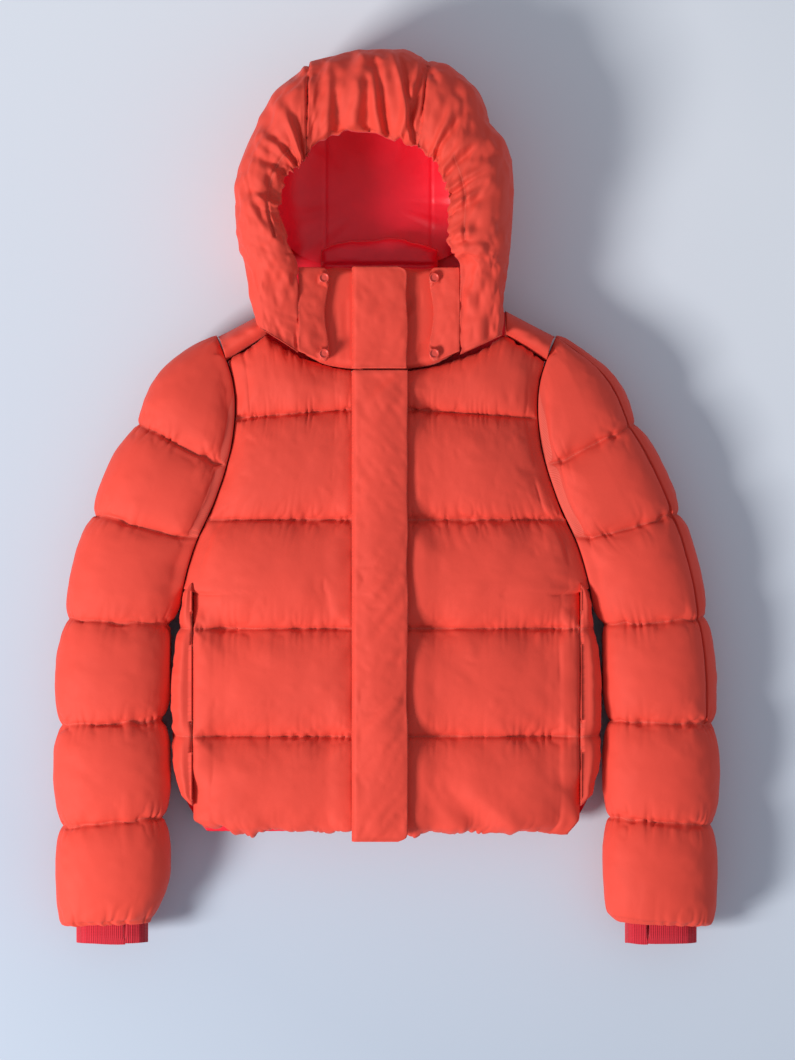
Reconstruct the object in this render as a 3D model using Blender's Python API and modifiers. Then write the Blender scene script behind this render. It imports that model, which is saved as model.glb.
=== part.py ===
"""Padded ski jacket with a hood, closed and laid on its back.

Metres, +Z up out of the chest, +Y towards the hood. The back panel rests on Z = 0.
Every padded panel is its own closed pad, sewn neighbours keep SEAM_GAP between them.
"""

import math

import bmesh
import bpy
from mathutils import Vector

# --- Clearances -----------------------------------------------------------------------------
SEAM_GAP = 0.0003  # between pieces that are sewn or seated together
RUN_GAP = 0.0007  # between pieces that slide past each other
LAY_GAP = 0.0015  # between a sleeve and the body it lies beside

# --- Levels along the body (Y) --------------------------------------------------------------
NECK_Y = 0.1325  # front neck seam at the zip
BODY_LENGTH = 0.4845  # front neck seam to hem
COLLAR_HEIGHT = 0.108
SHOULDER_RISE = 0.0645  # neck seam up to the neck point of the shoulder
SHOULDER_SLOPE = 0.027  # neck point down to the shoulder tip
ARMHOLE_DEPTH = 0.190
BACK_NECK_RISE = 0.0725  # neck seam up to the top edge of the back panel
HOOD_LENGTH = 0.2256  # collar top to the crown
SLEEVE_LENGTH = 0.5675  # top of the sleeve's centre line down to its hem, along Y
ELBOW_DROP = 0.2566  # top of the sleeve's centre line down to the elbow

# --- Half widths (X) ------------------------------------------------------------------------
HEM_HALF_WIDTH = 0.190
BODY_HALF_WIDTH = 0.2265
CHEST_HALF_WIDTH = 0.178
ARMHOLE_HALF_WIDTH = 0.160
SHOULDER_HALF_WIDTH = 0.177
NECK_HALF_WIDTH = 0.125
SIDE_SEAM_X = 0.2032  # front panel's outer edge, where the side panel starts
COLLAR_HALF_WIDTH = 0.080
HOOD_HALF_WIDTH = 0.141
OPENING_HALF_WIDTH = 0.090
COLLAR_X = -0.0075  # the collar, zip and flap lie this far off the middle
HOOD_X = -0.0125
OPENING_X = -0.018

# --- Lofts and thicknesses (Z) --------------------------------------------------------------
BACK_LOFT = 0.030
FRONT_LOFT = 0.030
BODY_CAVITY = 0.020
LINING = 0.0015
COLLAR_LOFT = 0.018
COLLAR_BACK_LOFT = 0.014
FLAP_LOFT = 0.010
TAB_LOFT = 0.011
HOOD_NECK_LOFT = 0.0265
HOOD_HEIGHT = 0.140
HOOD_BACK_LOFT = 0.022
HOOD_LIP_LOFT = 0.028
HOOD_WALL = 0.026
GUARD_LOFT = 0.008
PAD_EDGE = 0.003  # rounding of a pad's edges
YOKE_WIDTH = 0.026

# --- Sleeves and cuffs ----------------------------------------------------------------------
SLEEVE_TOP_WIDTH = 0.135
SLEEVE_WIDTH = 0.119
SLEEVE_HEM_WIDTH = 0.112
SLEEVE_HEIGHT = 0.086
SLEEVE_WALL = 0.019
CUFF_WIDTH = 0.0748
CUFF_HEIGHT = 0.036
CUFF_WALL = 0.002
CUFF_SHOWS = 0.0176
CUFF_TUCKED = 0.045
THUMB_SLIT = (0.0062, 0.021)

# --- Front zip ------------------------------------------------------------------------------
ZIP_GROOVE = 0.0152  # half the gap between the front panels
BEAD_WIDTH = 0.0030
BEAD_HEIGHT = 0.0032
TAPE_THICKNESS = 0.0012
WEB = 0.0014  # the slider's neck, between the two rows of teeth
SLIDER_WIDTH = 0.012
SLIDER_LENGTH = 0.015
SLIDER_PLATE = 0.0026
ZIP_LEVEL = 0.013  # depth of the tapes below the front panel's face
POST_RADIUS = 0.0013
POST_HEIGHT = 0.0042
PULLER = (0.007, 0.028, 0.0014)
BOX_LENGTH = 0.011
ZIP_END = 0.018  # lower end of the tapes above the hem
TAPE_TOP_MARGIN = 0.004

# --- Storm flap, tabs and snaps -------------------------------------------------------------
FLAP_LEFT = -0.036
FLAP_WIDTH = 0.0590
FLAP_LIP = 0.005  # sewn edge of the flap
FLAP_OVERHANG = 0.005  # flap below the hem
FLAP_SPLIT = 0.0015
TAB_WIDTH = 0.0320
TAB_FREE_X = 0.0515  # free edge of a hood tab from the collar's middle
TAB_TOP_DROP = 0.003
TAB_LENGTH = 0.0985
SNAP_RADIUS = 0.0052
SNAP_CAP_HEIGHT = 0.0026
SNAP_SHANK_RADIUS = 0.0022
STUD_RADIUS = 0.0045
STUD_HEIGHT = 0.0021
SNAP_INSET = 0.0055  # snap centre from the tab's free edge
TAB_SNAP_DROPS = (0.0100, 0.0885)  # snap centres below the tab's top edge
FLAP_SNAP_X = 0.0155
FLAP_SNAP_DROPS = (0.0500, 0.2200, 0.4300)  # below the collar's top

# --- Pockets --------------------------------------------------------------------------------
POCKET_LOW = 0.067  # lower end of the pocket slot above the hem
POCKET_LENGTH = 0.150
POCKET_SLOT = 0.007
POCKET_DEPTH = 0.022
BAG_SIZE = (0.110, 0.140)
BAG_THICKNESS = 0.0020

SECTION_SIDES = 20
SLEEVE_STATIONS = 16
SECTION_POWER = 2.6  # superellipse exponent of a sleeve that lies on its back

# --- Levels that follow ---------------------------------------------------------------------
HEM_Y = NECK_Y - BODY_LENGTH
COLLAR_TOP_Y = NECK_Y + COLLAR_HEIGHT
NECK_POINT_Y = NECK_Y + SHOULDER_RISE
SHOULDER_TIP_Y = NECK_POINT_Y - SHOULDER_SLOPE
UNDERARM_Y = SHOULDER_TIP_Y - ARMHOLE_DEPTH
BACK_NECK_Y = NECK_Y + BACK_NECK_RISE
HOOD_SPLIT_Y = COLLAR_TOP_Y + RUN_GAP
CROWN_Y = COLLAR_TOP_Y + HOOD_LENGTH + 2 * RUN_GAP
BACK_LINING_TOP = BACK_LOFT + SEAM_GAP + LINING
FRONT_LINING_BOTTOM = BACK_LINING_TOP + BODY_CAVITY
FRONT_BOTTOM = FRONT_LINING_BOTTOM + LINING + SEAM_GAP
FRONT_TOP = FRONT_BOTTOM + FRONT_LOFT
LEFT, RIGHT = -1, 1
CUTTER_REACH = 0.5

SHELL_RED = (0.80, 0.070, 0.050)
LINING_RED = (0.62, 0.012, 0.030)
CUFF_RED = (0.72, 0.015, 0.035)
ZIP_RED = (0.55, 0.020, 0.020)


# --- Tools ----------------------------------------------------------------------------------
def clear_scene():
    """Removes every object of the open scene."""
    for obj in list(bpy.data.objects):
        bpy.data.objects.remove(obj, do_unlink=True)


def collection(name):
    """A new collection in the scene."""
    made = bpy.data.collections.new(name)
    bpy.context.scene.collection.children.link(made)
    return made


def material(name, colour, roughness, metallic=0.0):
    """A Principled material."""
    made = bpy.data.materials.new(name)
    made.use_nodes = True
    shader = made.node_tree.nodes["Principled BSDF"]
    shader.inputs["Base Color"].default_value = (*colour, 1.0)
    shader.inputs["Roughness"].default_value = roughness
    shader.inputs["Metallic"].default_value = metallic
    return made


def place(obj, finish=None):
    """Links a finished piece to the jacket's collection, with its material."""
    JACKET.objects.link(obj)
    if finish is not None:
        obj.data.materials.append(finish)
    return obj


def slab(name, outline, bottom, top, rounding=PAD_EDGE):
    """A flat pad: a closed outline in XY between two heights, with rounded edges."""
    curve = bpy.data.curves.new(name, "CURVE")
    curve.dimensions = "2D"
    curve.fill_mode = "BOTH"
    spline = curve.splines.new("POLY")
    spline.points.add(len(outline) - 1)
    for point, (x, y) in zip(spline.points, outline):
        point.co = (x, y, 0.0, 1.0)
    spline.use_cyclic_u = True
    curve.offset = -rounding
    curve.bevel_depth = rounding
    curve.bevel_resolution = 1
    curve.extrude = (top - bottom) / 2 - rounding
    obj = bpy.data.objects.new(name, curve)
    obj.location.z = (bottom + top) / 2
    return obj


def as_mesh(obj):
    """The evaluated object as a welded mesh object of the same name, in world space."""
    bpy.context.scene.collection.objects.link(obj)
    bpy.context.view_layer.update()
    graph = bpy.context.evaluated_depsgraph_get()
    mesh = bpy.data.meshes.new_from_object(obj.evaluated_get(graph))
    mesh.transform(obj.matrix_world)
    name = obj.name
    bpy.data.objects.remove(obj, do_unlink=True)
    work = bmesh.new()
    work.from_mesh(mesh)
    bmesh.ops.remove_doubles(work, verts=work.verts, dist=1e-6)
    bmesh.ops.recalc_face_normals(work, faces=work.faces)
    work.to_mesh(mesh)
    work.free()
    made = bpy.data.objects.new(name, mesh)
    made.data.name = name
    return made


def profile_bar(name, outline, start_y, end_y):
    """A bar along Y whose section is a closed outline in XZ."""
    obj = slab(name, [(x, -z) for x, z in outline], 0.0, end_y - start_y, 0.0)
    obj.rotation_euler.x = -math.pi / 2
    obj.location = (0.0, (start_y + end_y) / 2, 0.0)
    return as_mesh(obj)


def block(name, low, high):
    """A box between two corners."""
    work = bmesh.new()
    bmesh.ops.create_cube(work, size=1.0)
    low, high = Vector(low), Vector(high)
    bmesh.ops.scale(work, vec=high - low, verts=work.verts)
    bmesh.ops.translate(work, vec=(low + high) / 2, verts=work.verts)
    mesh = bpy.data.meshes.new(name)
    work.to_mesh(mesh)
    work.free()
    return bpy.data.objects.new(name, mesh)


def turned(name, profile, centre):
    """A shape turned about Z: (radius, height) points down the outer side, moved to centre."""
    mesh = bpy.data.meshes.new(name)
    points = [(radius, 0.0, height) for radius, height in profile]
    mesh.from_pydata(points, [(i, i + 1) for i in range(len(points) - 1)], [])
    obj = bpy.data.objects.new(name, mesh)
    screw = obj.modifiers.new("Turn", "SCREW")
    screw.steps = screw.render_steps = 20
    screw.use_merge_vertices = True
    screw.merge_threshold = 0.00001
    obj.location = centre
    return obj


def combine(obj, other, operation):
    """Adds a Boolean of a helper that stays hidden in the cutters' collection."""
    if other.name not in CUTTERS.objects:
        CUTTERS.objects.link(other)
    other.hide_render = True
    other.display_type = "WIRE"
    step = obj.modifiers.new(operation.title(), "BOOLEAN")
    step.operation = operation
    step.object = other
    return obj


def mirrored(outline, side, about=0.0):
    """The outline on one side of the line X = about."""
    return [(about + side * (x - about), y) for x, y in outline]


def ease(stations, at, steps=3):
    """Catmull-Rom curve through (level, value) stations, read at one level."""
    for i in range(len(stations) - 1):
        (y0, a), (y1, b) = stations[i], stations[i + 1]
        if at <= y1 or i == len(stations) - 2:
            before = stations[max(i - 1, 0)]
            after = stations[min(i + 2, len(stations) - 1)]
            rise0 = (b - before[1]) / (y1 - before[0]) * (y1 - y0)
            rise1 = (after[1] - a) / (after[0] - y0) * (y1 - y0)
            t = (at - y0) / (y1 - y0)
            return (
                (2 * t**3 - 3 * t**2 + 1) * a
                + (t**3 - 2 * t**2 + t) * rise0
                + (3 * t**2 - 2 * t**3) * b
                + (t**3 - t**2) * rise1
            )
    raise ValueError("ease needs two stations")


def spread(low, high, count):
    """Evenly spaced values from low to high."""
    return [low + (high - low) * i / (count - 1) for i in range(count)]


# --- The body's outline ---------------------------------------------------------------------
def side_stations():
    """(level, half width) of the body from hem to shoulder tip."""
    return [
        (HEM_Y, HEM_HALF_WIDTH),
        (HEM_Y + 0.017, HEM_HALF_WIDTH + 0.014),
        (HEM_Y + 0.062, BODY_HALF_WIDTH - 0.0045),
        (HEM_Y + 0.142, BODY_HALF_WIDTH),
        (UNDERARM_Y - 0.110, BODY_HALF_WIDTH - 0.0075),
        (UNDERARM_Y - 0.030, BODY_HALF_WIDTH - 0.0265),
        (UNDERARM_Y + 0.020, CHEST_HALF_WIDTH),
        (UNDERARM_Y + 0.080, ARMHOLE_HALF_WIDTH + 0.001),
        (SHOULDER_TIP_Y - 0.050, ARMHOLE_HALF_WIDTH),
        (SHOULDER_TIP_Y, SHOULDER_HALF_WIDTH),
    ]


def half_width(y):
    """Half width of the body at a level."""
    return ease(side_stations(), y)


def side_points(low, high, count, most=1.0):
    """Points up one side of the body, no further out than most."""
    return [(min(half_width(y), most), y) for y in spread(low, high, count)]


def neckline(x):
    """Level of the front neck seam at a distance from the collar's middle."""
    share = max(0.0, abs(x) - ZIP_GROOVE) / (NECK_HALF_WIDTH - ZIP_GROOVE)
    return NECK_Y + (YOKE_INNER_Y - NECK_Y) * share**2


def body_reach():
    """The body's greatest half width, below the armholes."""
    return max(half_width(y) for y in spread(HEM_Y, UNDERARM_Y, 120))


def collar_marks():
    """Distances from the collar's middle at which the neck seam has a point."""
    return spread(ZIP_GROOVE, COLLAR_HALF_WIDTH, 5)


YOKE_INNER_Y = NECK_POINT_Y - YOKE_WIDTH
YOKE_OUTER_Y = SHOULDER_TIP_Y - YOKE_WIDTH


def back_panel():
    """The whole back, from hem to neck, with both shoulders."""
    side = side_points(HEM_Y, SHOULDER_TIP_Y, 22)
    neck = [(NECK_HALF_WIDTH, NECK_POINT_Y), (COLLAR_HALF_WIDTH, BACK_NECK_Y)]
    right = side + neck
    outline = right + [(-x, y) for x, y in reversed(right)]
    place(slab("back_panel", outline, 0.0, BACK_LOFT), SHELL)


def back_lining():
    """Thin lining of the back, inside the side and shoulder panels."""
    side = side_points(HEM_Y + PAD_EDGE, YOKE_OUTER_Y - SEAM_GAP, 18, SIDE_SEAM_X)
    right = side + [(NECK_HALF_WIDTH, YOKE_INNER_Y - SEAM_GAP)]
    outline = right + [(-x, y) for x, y in reversed(right)]
    low = BACK_LOFT + SEAM_GAP
    place(slab("back_lining", outline, low, low + LINING, 0.0), LINING_CLOTH)


def front_outline(side, inset=0.0):
    """One front, from the zip groove to the side seam, armhole, yoke seam and neckline."""
    inner = ZIP_GROOVE + inset
    outer = side_points(
        HEM_Y + inset, YOKE_OUTER_Y - SEAM_GAP - inset, 18, SIDE_SEAM_X - inset
    )
    middle = side * COLLAR_X
    neck = [(NECK_HALF_WIDTH, YOKE_INNER_Y - SEAM_GAP - inset)]
    for x in reversed(collar_marks()):
        neck.append((middle + max(x, inner), neckline(x) - inset))
    return mirrored(outer + neck + [(middle + inner, HEM_Y + inset)], side)


def pocket_slot(side):
    """(low, high) corners of the slot for a pocket's zip, at the side seam."""
    low_y = HEM_Y + POCKET_LOW
    xs = sorted((side * (SIDE_SEAM_X - POCKET_SLOT), side * (SIDE_SEAM_X + SEAM_GAP / 2)))
    return (
        (xs[0], low_y, FRONT_TOP - POCKET_DEPTH),
        (xs[1], low_y + POCKET_LENGTH, FRONT_TOP + PAD_EDGE),
    )


def bag_corners(side, grow=0.0):
    """(low, high) corners of a pocket's bag, in the underside of the front."""
    outer = SIDE_SEAM_X - POCKET_SLOT
    xs = sorted((side * outer, side * (outer - BAG_SIZE[0])))
    low_y = HEM_Y + POCKET_LOW
    return (
        (xs[0] - grow, low_y - grow, FRONT_BOTTOM - grow),
        (xs[1] + grow, low_y + BAG_SIZE[1] + grow, FRONT_BOTTOM + BAG_THICKNESS + grow),
    )


def front_panel(side, label):
    """One padded front, cut for its pocket's zip and bag."""
    panel = as_mesh(slab(f"{label}_front_panel", front_outline(side), FRONT_BOTTOM, FRONT_TOP))
    combine(panel, block(f"{label}_slot_cutter", *pocket_slot(side)), "DIFFERENCE")
    low, high = bag_corners(side, SEAM_GAP)
    low = (low[0], low[1], low[2] - LINING)
    combine(panel, block(f"{label}_bag_cutter", low, high), "DIFFERENCE")
    place(panel, SHELL)
    lining = slab(
        f"{label}_front_lining",
        front_outline(side, PAD_EDGE),
        FRONT_LINING_BOTTOM,
        FRONT_LINING_BOTTOM + LINING,
        0.0,
    )
    place(lining, LINING_CLOTH)
    place(block(f"{label}_pocket_bag", *bag_corners(side)), LINING_CLOTH)


def side_panel(side, label):
    """The narrow panel between front and back, outside the side seam."""
    inner = SIDE_SEAM_X + SEAM_GAP
    levels = spread(HEM_Y + 0.02, UNDERARM_Y, 60)
    wide = [y for y in levels if half_width(y) > inner + 0.006]
    outer = side_points(wide[0], wide[-1], 12)
    outline = mirrored(outer + [(inner, wide[-1]), (inner, wide[0])], side)
    bottom = BACK_LOFT + SEAM_GAP
    place(slab(f"{label}_side_panel", outline, bottom, FRONT_TOP - PAD_EDGE, 0.002), SHELL)


def shoulder_yoke(side, label):
    """The strip along the shoulder that joins front and back."""
    outline = [
        (SHOULDER_HALF_WIDTH, SHOULDER_TIP_Y),
        (NECK_HALF_WIDTH, NECK_POINT_Y),
        (NECK_HALF_WIDTH, YOKE_INNER_Y),
        (half_width(YOKE_OUTER_Y), YOKE_OUTER_Y),
    ]
    bottom = BACK_LOFT + SEAM_GAP
    pad = slab(f"{label}_shoulder_yoke", mirrored(outline, side), bottom, FRONT_TOP, 0.002)
    place(pad, SHELL)


# --- Collar ---------------------------------------------------------------------------------
def collar(side, label):
    """One front half of the stand collar, with the wall that joins it to the back half."""
    inner = COLLAR_HALF_WIDTH - COLLAR_LOFT
    lower = [
        (COLLAR_X + side * x, neckline(x) + 2 * SEAM_GAP)
        for x in collar_marks()
    ]
    top = [
        (COLLAR_X + side * COLLAR_HALF_WIDTH, COLLAR_TOP_Y),
        (COLLAR_X + side * ZIP_GROOVE, COLLAR_TOP_Y),
    ]
    name = f"{label}_collar_front"
    front = as_mesh(slab(name, lower + top, FRONT_TOP - COLLAR_LOFT, FRONT_TOP, 0.002))
    xs = sorted((COLLAR_X + side * inner, COLLAR_X + side * (COLLAR_HALF_WIDTH - 0.001)))
    low_y = neckline(COLLAR_HALF_WIDTH) + 4 * SEAM_GAP
    low = (xs[0], low_y, BACK_LINING_TOP + SEAM_GAP)
    high = (xs[1], COLLAR_TOP_Y - 0.001, FRONT_TOP - 0.004)
    combine(front, block(f"{label}_collar_wall", low, high), "UNION")
    place(front, SHELL)


def collar_back():
    """The back half of the stand collar, a little taller than the front."""
    half = COLLAR_HALF_WIDTH - COLLAR_LOFT - SEAM_GAP
    outline = [
        (COLLAR_X + x, y)
        for x, y in (
            (half, NECK_Y + 0.020),
            (half, COLLAR_TOP_Y),
            (half - 0.012, COLLAR_TOP_Y + 0.034),
            (-half + 0.012, COLLAR_TOP_Y + 0.034),
            (-half, COLLAR_TOP_Y),
            (-half, NECK_Y + 0.020),
        )
    ]
    bottom = BACK_LINING_TOP + SEAM_GAP
    place(slab("collar_back", outline, bottom, bottom + COLLAR_BACK_LOFT, 0.002), LINING_CLOTH)


def hanger_loop():
    """A strap sewn at both ends inside the back collar, for a hook."""
    seat = BACK_LINING_TOP + SEAM_GAP + COLLAR_BACK_LOFT + SEAM_GAP
    half, rise, strap = 0.022, 0.0070, 0.0012
    outer = [(-half, 0.0), (-half * 0.72, rise), (half * 0.72, rise), (half, 0.0)]
    inner = [
        (half - 2.5 * strap, 0.0),
        (half * 0.72 - strap, rise - strap),
        (-half * 0.72 + strap, rise - strap),
        (-half + 2.5 * strap, 0.0),
    ]
    outline = [(COLLAR_X + x, seat + z) for x, z in outer + inner]
    start = NECK_Y + 0.028
    place(profile_bar("hanger_loop", outline, start, start + 0.008), LINING_CLOTH)


# --- Front zip ------------------------------------------------------------------------------
def zip_tape(side, label):
    """One zip tape with its row of teeth as a bead along the inner edge."""
    level = FRONT_TOP - ZIP_LEVEL
    inner = WEB / 2 + 0.0005
    outline = [
        (inner, level - BEAD_HEIGHT / 2),
        (inner + BEAD_WIDTH, level - BEAD_HEIGHT / 2),
        (inner + BEAD_WIDTH, level - TAPE_THICKNESS / 2),
        (ZIP_GROOVE - SEAM_GAP, level - TAPE_THICKNESS / 2),
        (ZIP_GROOVE - SEAM_GAP, level + TAPE_THICKNESS / 2),
        (inner + BEAD_WIDTH, level + TAPE_THICKNESS / 2),
        (inner + BEAD_WIDTH, level + BEAD_HEIGHT / 2),
        (inner, level + BEAD_HEIGHT / 2),
    ]
    outline = [(COLLAR_X + side * x, z) for x, z in outline]
    bar = profile_bar(
        f"{label}_zip_tape", outline, HEM_Y + ZIP_END, COLLAR_TOP_Y - TAPE_TOP_MARGIN
    )
    place(bar, ZIP_CLOTH)


def zip_guard():
    """Padded strip behind the zip that keeps wind and snow out."""
    half = ZIP_GROOVE - SEAM_GAP
    outline = [
        (COLLAR_X - half, HEM_Y + 0.004),
        (COLLAR_X + half, HEM_Y + 0.004),
        (COLLAR_X + half, COLLAR_TOP_Y - TAPE_TOP_MARGIN),
        (COLLAR_X - half, COLLAR_TOP_Y - TAPE_TOP_MARGIN),
    ]
    bottom = FRONT_BOTTOM + 0.0015
    place(slab("zip_guard", outline, bottom, bottom + GUARD_LOFT, 0.001), LINING_CLOTH)


def zip_box():
    """Retainer box at the zip's foot, with the slot that takes the insertion pin."""
    level = FRONT_TOP - ZIP_LEVEL
    end = HEM_Y + ZIP_END - SEAM_GAP
    low = (COLLAR_X - 0.0045, end - BOX_LENGTH, level - 0.0030)
    high = (COLLAR_X + 0.0060, end, level + 0.0030)
    box = block("zip_retainer_box", low, high)
    slot_low = (COLLAR_X - 0.0030, end - BOX_LENGTH + 0.0020, level - 0.0015)
    slot_high = (COLLAR_X + 0.0002, end + 0.001, level + 0.0015)
    combine(box, block("pin_slot_cutter", slot_low, slot_high), "DIFFERENCE")
    place(box, ZIP_METAL)
    pin_low = [value + SEAM_GAP for value in slot_low]
    pin_high = (slot_high[0] - SEAM_GAP, end, slot_high[2] - SEAM_GAP)
    place(block("zip_insertion_pin", pin_low, pin_high), ZIP_METAL)


def slider_y():
    """Level of the closed front slider's middle."""
    return COLLAR_TOP_Y - TAPE_TOP_MARGIN - SLIDER_LENGTH / 2 - 0.003


def front_slider():
    """The zip's slider: two plates joined by a neck between the rows of teeth, and a post."""
    level = FRONT_TOP - ZIP_LEVEL
    gap = BEAD_HEIGHT / 2 + RUN_GAP
    half, web = SLIDER_WIDTH / 2, WEB / 2
    middle = slider_y()
    low_y, high_y = middle - SLIDER_LENGTH / 2, middle + SLIDER_LENGTH / 2
    body = block(
        "front_zip_slider",
        (COLLAR_X - half, low_y, level + gap),
        (COLLAR_X + half, high_y, level + gap + SLIDER_PLATE),
    )
    under = block(
        "slider_under_plate",
        (COLLAR_X - half, low_y, level - gap - SLIDER_PLATE),
        (COLLAR_X + half, high_y, level - gap),
    )
    neck = block(
        "slider_neck",
        (COLLAR_X - web, low_y + 0.002, level - gap - SLIDER_PLATE / 2),
        (COLLAR_X + web, high_y - 0.002, level + gap + SLIDER_PLATE / 2),
    )
    combine(body, neck, "UNION")
    combine(body, under, "UNION")
    face = level + gap + SLIDER_PLATE
    head = POST_RADIUS + 0.0010
    profile = [
        (0.0, POST_HEIGHT),
        (head, POST_HEIGHT),
        (head, POST_HEIGHT - 0.0010),
        (POST_RADIUS, POST_HEIGHT - 0.0010),
        (POST_RADIUS, -0.0010),
        (0.0, -0.0010),
    ]
    combine(body, turned("slider_post", profile, (COLLAR_X, middle, face)), "UNION")
    place(body, ZIP_METAL)
    puller("front_zip_puller", COLLAR_X, middle, face + 0.0009)


def puller(name, x, y, bottom):
    """Flat pull tab whose eye turns on the slider's post."""
    width, length, thickness = PULLER
    half, eye = width / 2, 0.0030
    round_end = [
        (x + eye * math.cos(a), y + eye * math.sin(a)) for a in spread(0.0, math.pi, 9)
    ]
    tail = [
        (x - half, y - 0.010),
        (x - half, y - length + 0.002),
        (x - half + 0.002, y - length),
        (x + half - 0.002, y - length),
        (x + half, y - length + 0.002),
        (x + half, y - 0.010),
    ]
    tab = as_mesh(slab(name, round_end + tail, bottom, bottom + thickness, 0.0))
    hole = POST_RADIUS + 0.0004
    profile = [(0.0, 0.01), (hole, 0.01), (hole, -0.01), (0.0, -0.01)]
    combine(tab, turned(f"{name}_eye", profile, (x, y, bottom)), "DIFFERENCE")
    place(tab, ZIP_METAL)


# --- Storm flap -----------------------------------------------------------------------------
FLAP_BOTTOM = FRONT_TOP + STUD_HEIGHT * 2 + SEAM_GAP * 3
FLAP_TOP = FLAP_BOTTOM + FLAP_LOFT


def flap_section():
    """Section of the flap in XZ: a pad with a lip along its sewn edge."""
    right = FLAP_LEFT + FLAP_WIDTH
    lip_foot = FRONT_TOP + SEAM_GAP
    edge = 0.0025
    return [
        (FLAP_LEFT, lip_foot),
        (FLAP_LEFT + FLAP_LIP, lip_foot),
        (FLAP_LEFT + FLAP_LIP, FLAP_BOTTOM),
        (right - edge, FLAP_BOTTOM),
        (right, FLAP_BOTTOM + edge),
        (right, FLAP_TOP - edge),
        (right - edge, FLAP_TOP),
        (FLAP_LEFT + edge / 2, FLAP_TOP),
        (FLAP_LEFT, FLAP_TOP - edge / 2),
    ]


def storm_flap():
    """The flap over the zip: one length on the body and one on the collar."""
    lower = profile_bar("body_storm_flap", flap_section(), HEM_Y - FLAP_OVERHANG, NECK_Y)
    upper = profile_bar(
        "collar_storm_flap", flap_section(), NECK_Y + FLAP_SPLIT, COLLAR_TOP_Y - RUN_GAP
    )
    for flap in (lower, upper):
        place(flap, SHELL)


def stud(name, x, y, seat):
    """Snap stud: a low disc with a raised button."""
    profile = [
        (0.0, STUD_HEIGHT),
        (STUD_RADIUS * 0.45, STUD_HEIGHT),
        (STUD_RADIUS * 0.55, STUD_HEIGHT * 0.5),
        (STUD_RADIUS, STUD_HEIGHT * 0.4),
        (STUD_RADIUS, 0.0),
        (0.0, 0.0),
    ]
    place(turned(name, profile, (x, y, seat)), ZIP_METAL)


def flap_snaps():
    """Hidden snaps of the flap: a stud on the front, and a socket under the flap."""
    seat = FRONT_TOP + SEAM_GAP
    profile = [
        (0.0, STUD_HEIGHT),
        (STUD_RADIUS * 1.1, STUD_HEIGHT),
        (STUD_RADIUS * 1.1, 0.0005),
        (STUD_RADIUS * 0.9, 0.0),
        (0.0, 0.0),
    ]
    for number, drop in enumerate(FLAP_SNAP_DROPS, 1):
        y = COLLAR_TOP_Y - drop
        stud(f"flap_snap_stud_{number}", FLAP_SNAP_X, y, seat)
        centre = (FLAP_SNAP_X, y, seat + STUD_HEIGHT + SEAM_GAP)
        place(turned(f"flap_snap_socket_{number}", profile, centre), ZIP_METAL)


# --- Hood -----------------------------------------------------------------------------------
def tab_edges(side):
    """(hinge x, free edge x) of one hood tab."""
    free = COLLAR_X + side * TAB_FREE_X
    return free + side * TAB_WIDTH, free


def hood_tab(side, label):
    """Front corner of the hood that snaps to the collar, with its two snap caps."""
    hinge, free = tab_edges(side)
    top = COLLAR_TOP_Y - TAB_TOP_DROP
    corner = 0.006
    outline = [
        (hinge, top),
        (free + side * corner, top),
        (free, top - corner),
        (free, top - TAB_LENGTH + corner),
        (free + side * corner, top - TAB_LENGTH),
        (hinge, top - TAB_LENGTH + 0.012),
    ]
    name = f"{label}_hood_tab"
    bottom = FRONT_TOP + STUD_HEIGHT + 2 * SEAM_GAP
    tab = as_mesh(slab(name, outline, bottom, bottom + TAB_LOFT, 0.0015))
    seat = bottom + TAB_LOFT + SEAM_GAP
    rim = SNAP_RADIUS
    cap = [
        (0.0, SNAP_CAP_HEIGHT * 0.7),
        (rim * 0.55, SNAP_CAP_HEIGHT * 0.7),
        (rim * 0.70, SNAP_CAP_HEIGHT),
        (rim * 0.90, SNAP_CAP_HEIGHT),
        (rim, SNAP_CAP_HEIGHT * 0.6),
        (rim, 0.0),
        (SNAP_SHANK_RADIUS, 0.0),
        (SNAP_SHANK_RADIUS, -TAB_LOFT - SEAM_GAP),
        (0.0, -TAB_LOFT - SEAM_GAP),
    ]
    hole = SNAP_SHANK_RADIUS + SEAM_GAP
    reach = TAB_LOFT + 0.002
    drill = [(0.0, reach), (hole, reach), (hole, -reach), (0.0, -reach)]
    x = free + side * SNAP_INSET
    for place_name, drop in zip(("upper", "lower"), TAB_SNAP_DROPS):
        centre = (x, top - drop, seat)
        cutter = turned(f"{label}_{place_name}_snap_drill", drill, centre)
        combine(tab, cutter, "DIFFERENCE")
        place(turned(f"{label}_{place_name}_snap_cap", cap, centre), SNAP_RED)
        stud_name = f"{label}_{place_name}_snap_stud"
        stud(stud_name, x, top - drop, FRONT_TOP + SEAM_GAP)
    place(tab, SHELL)


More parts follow.
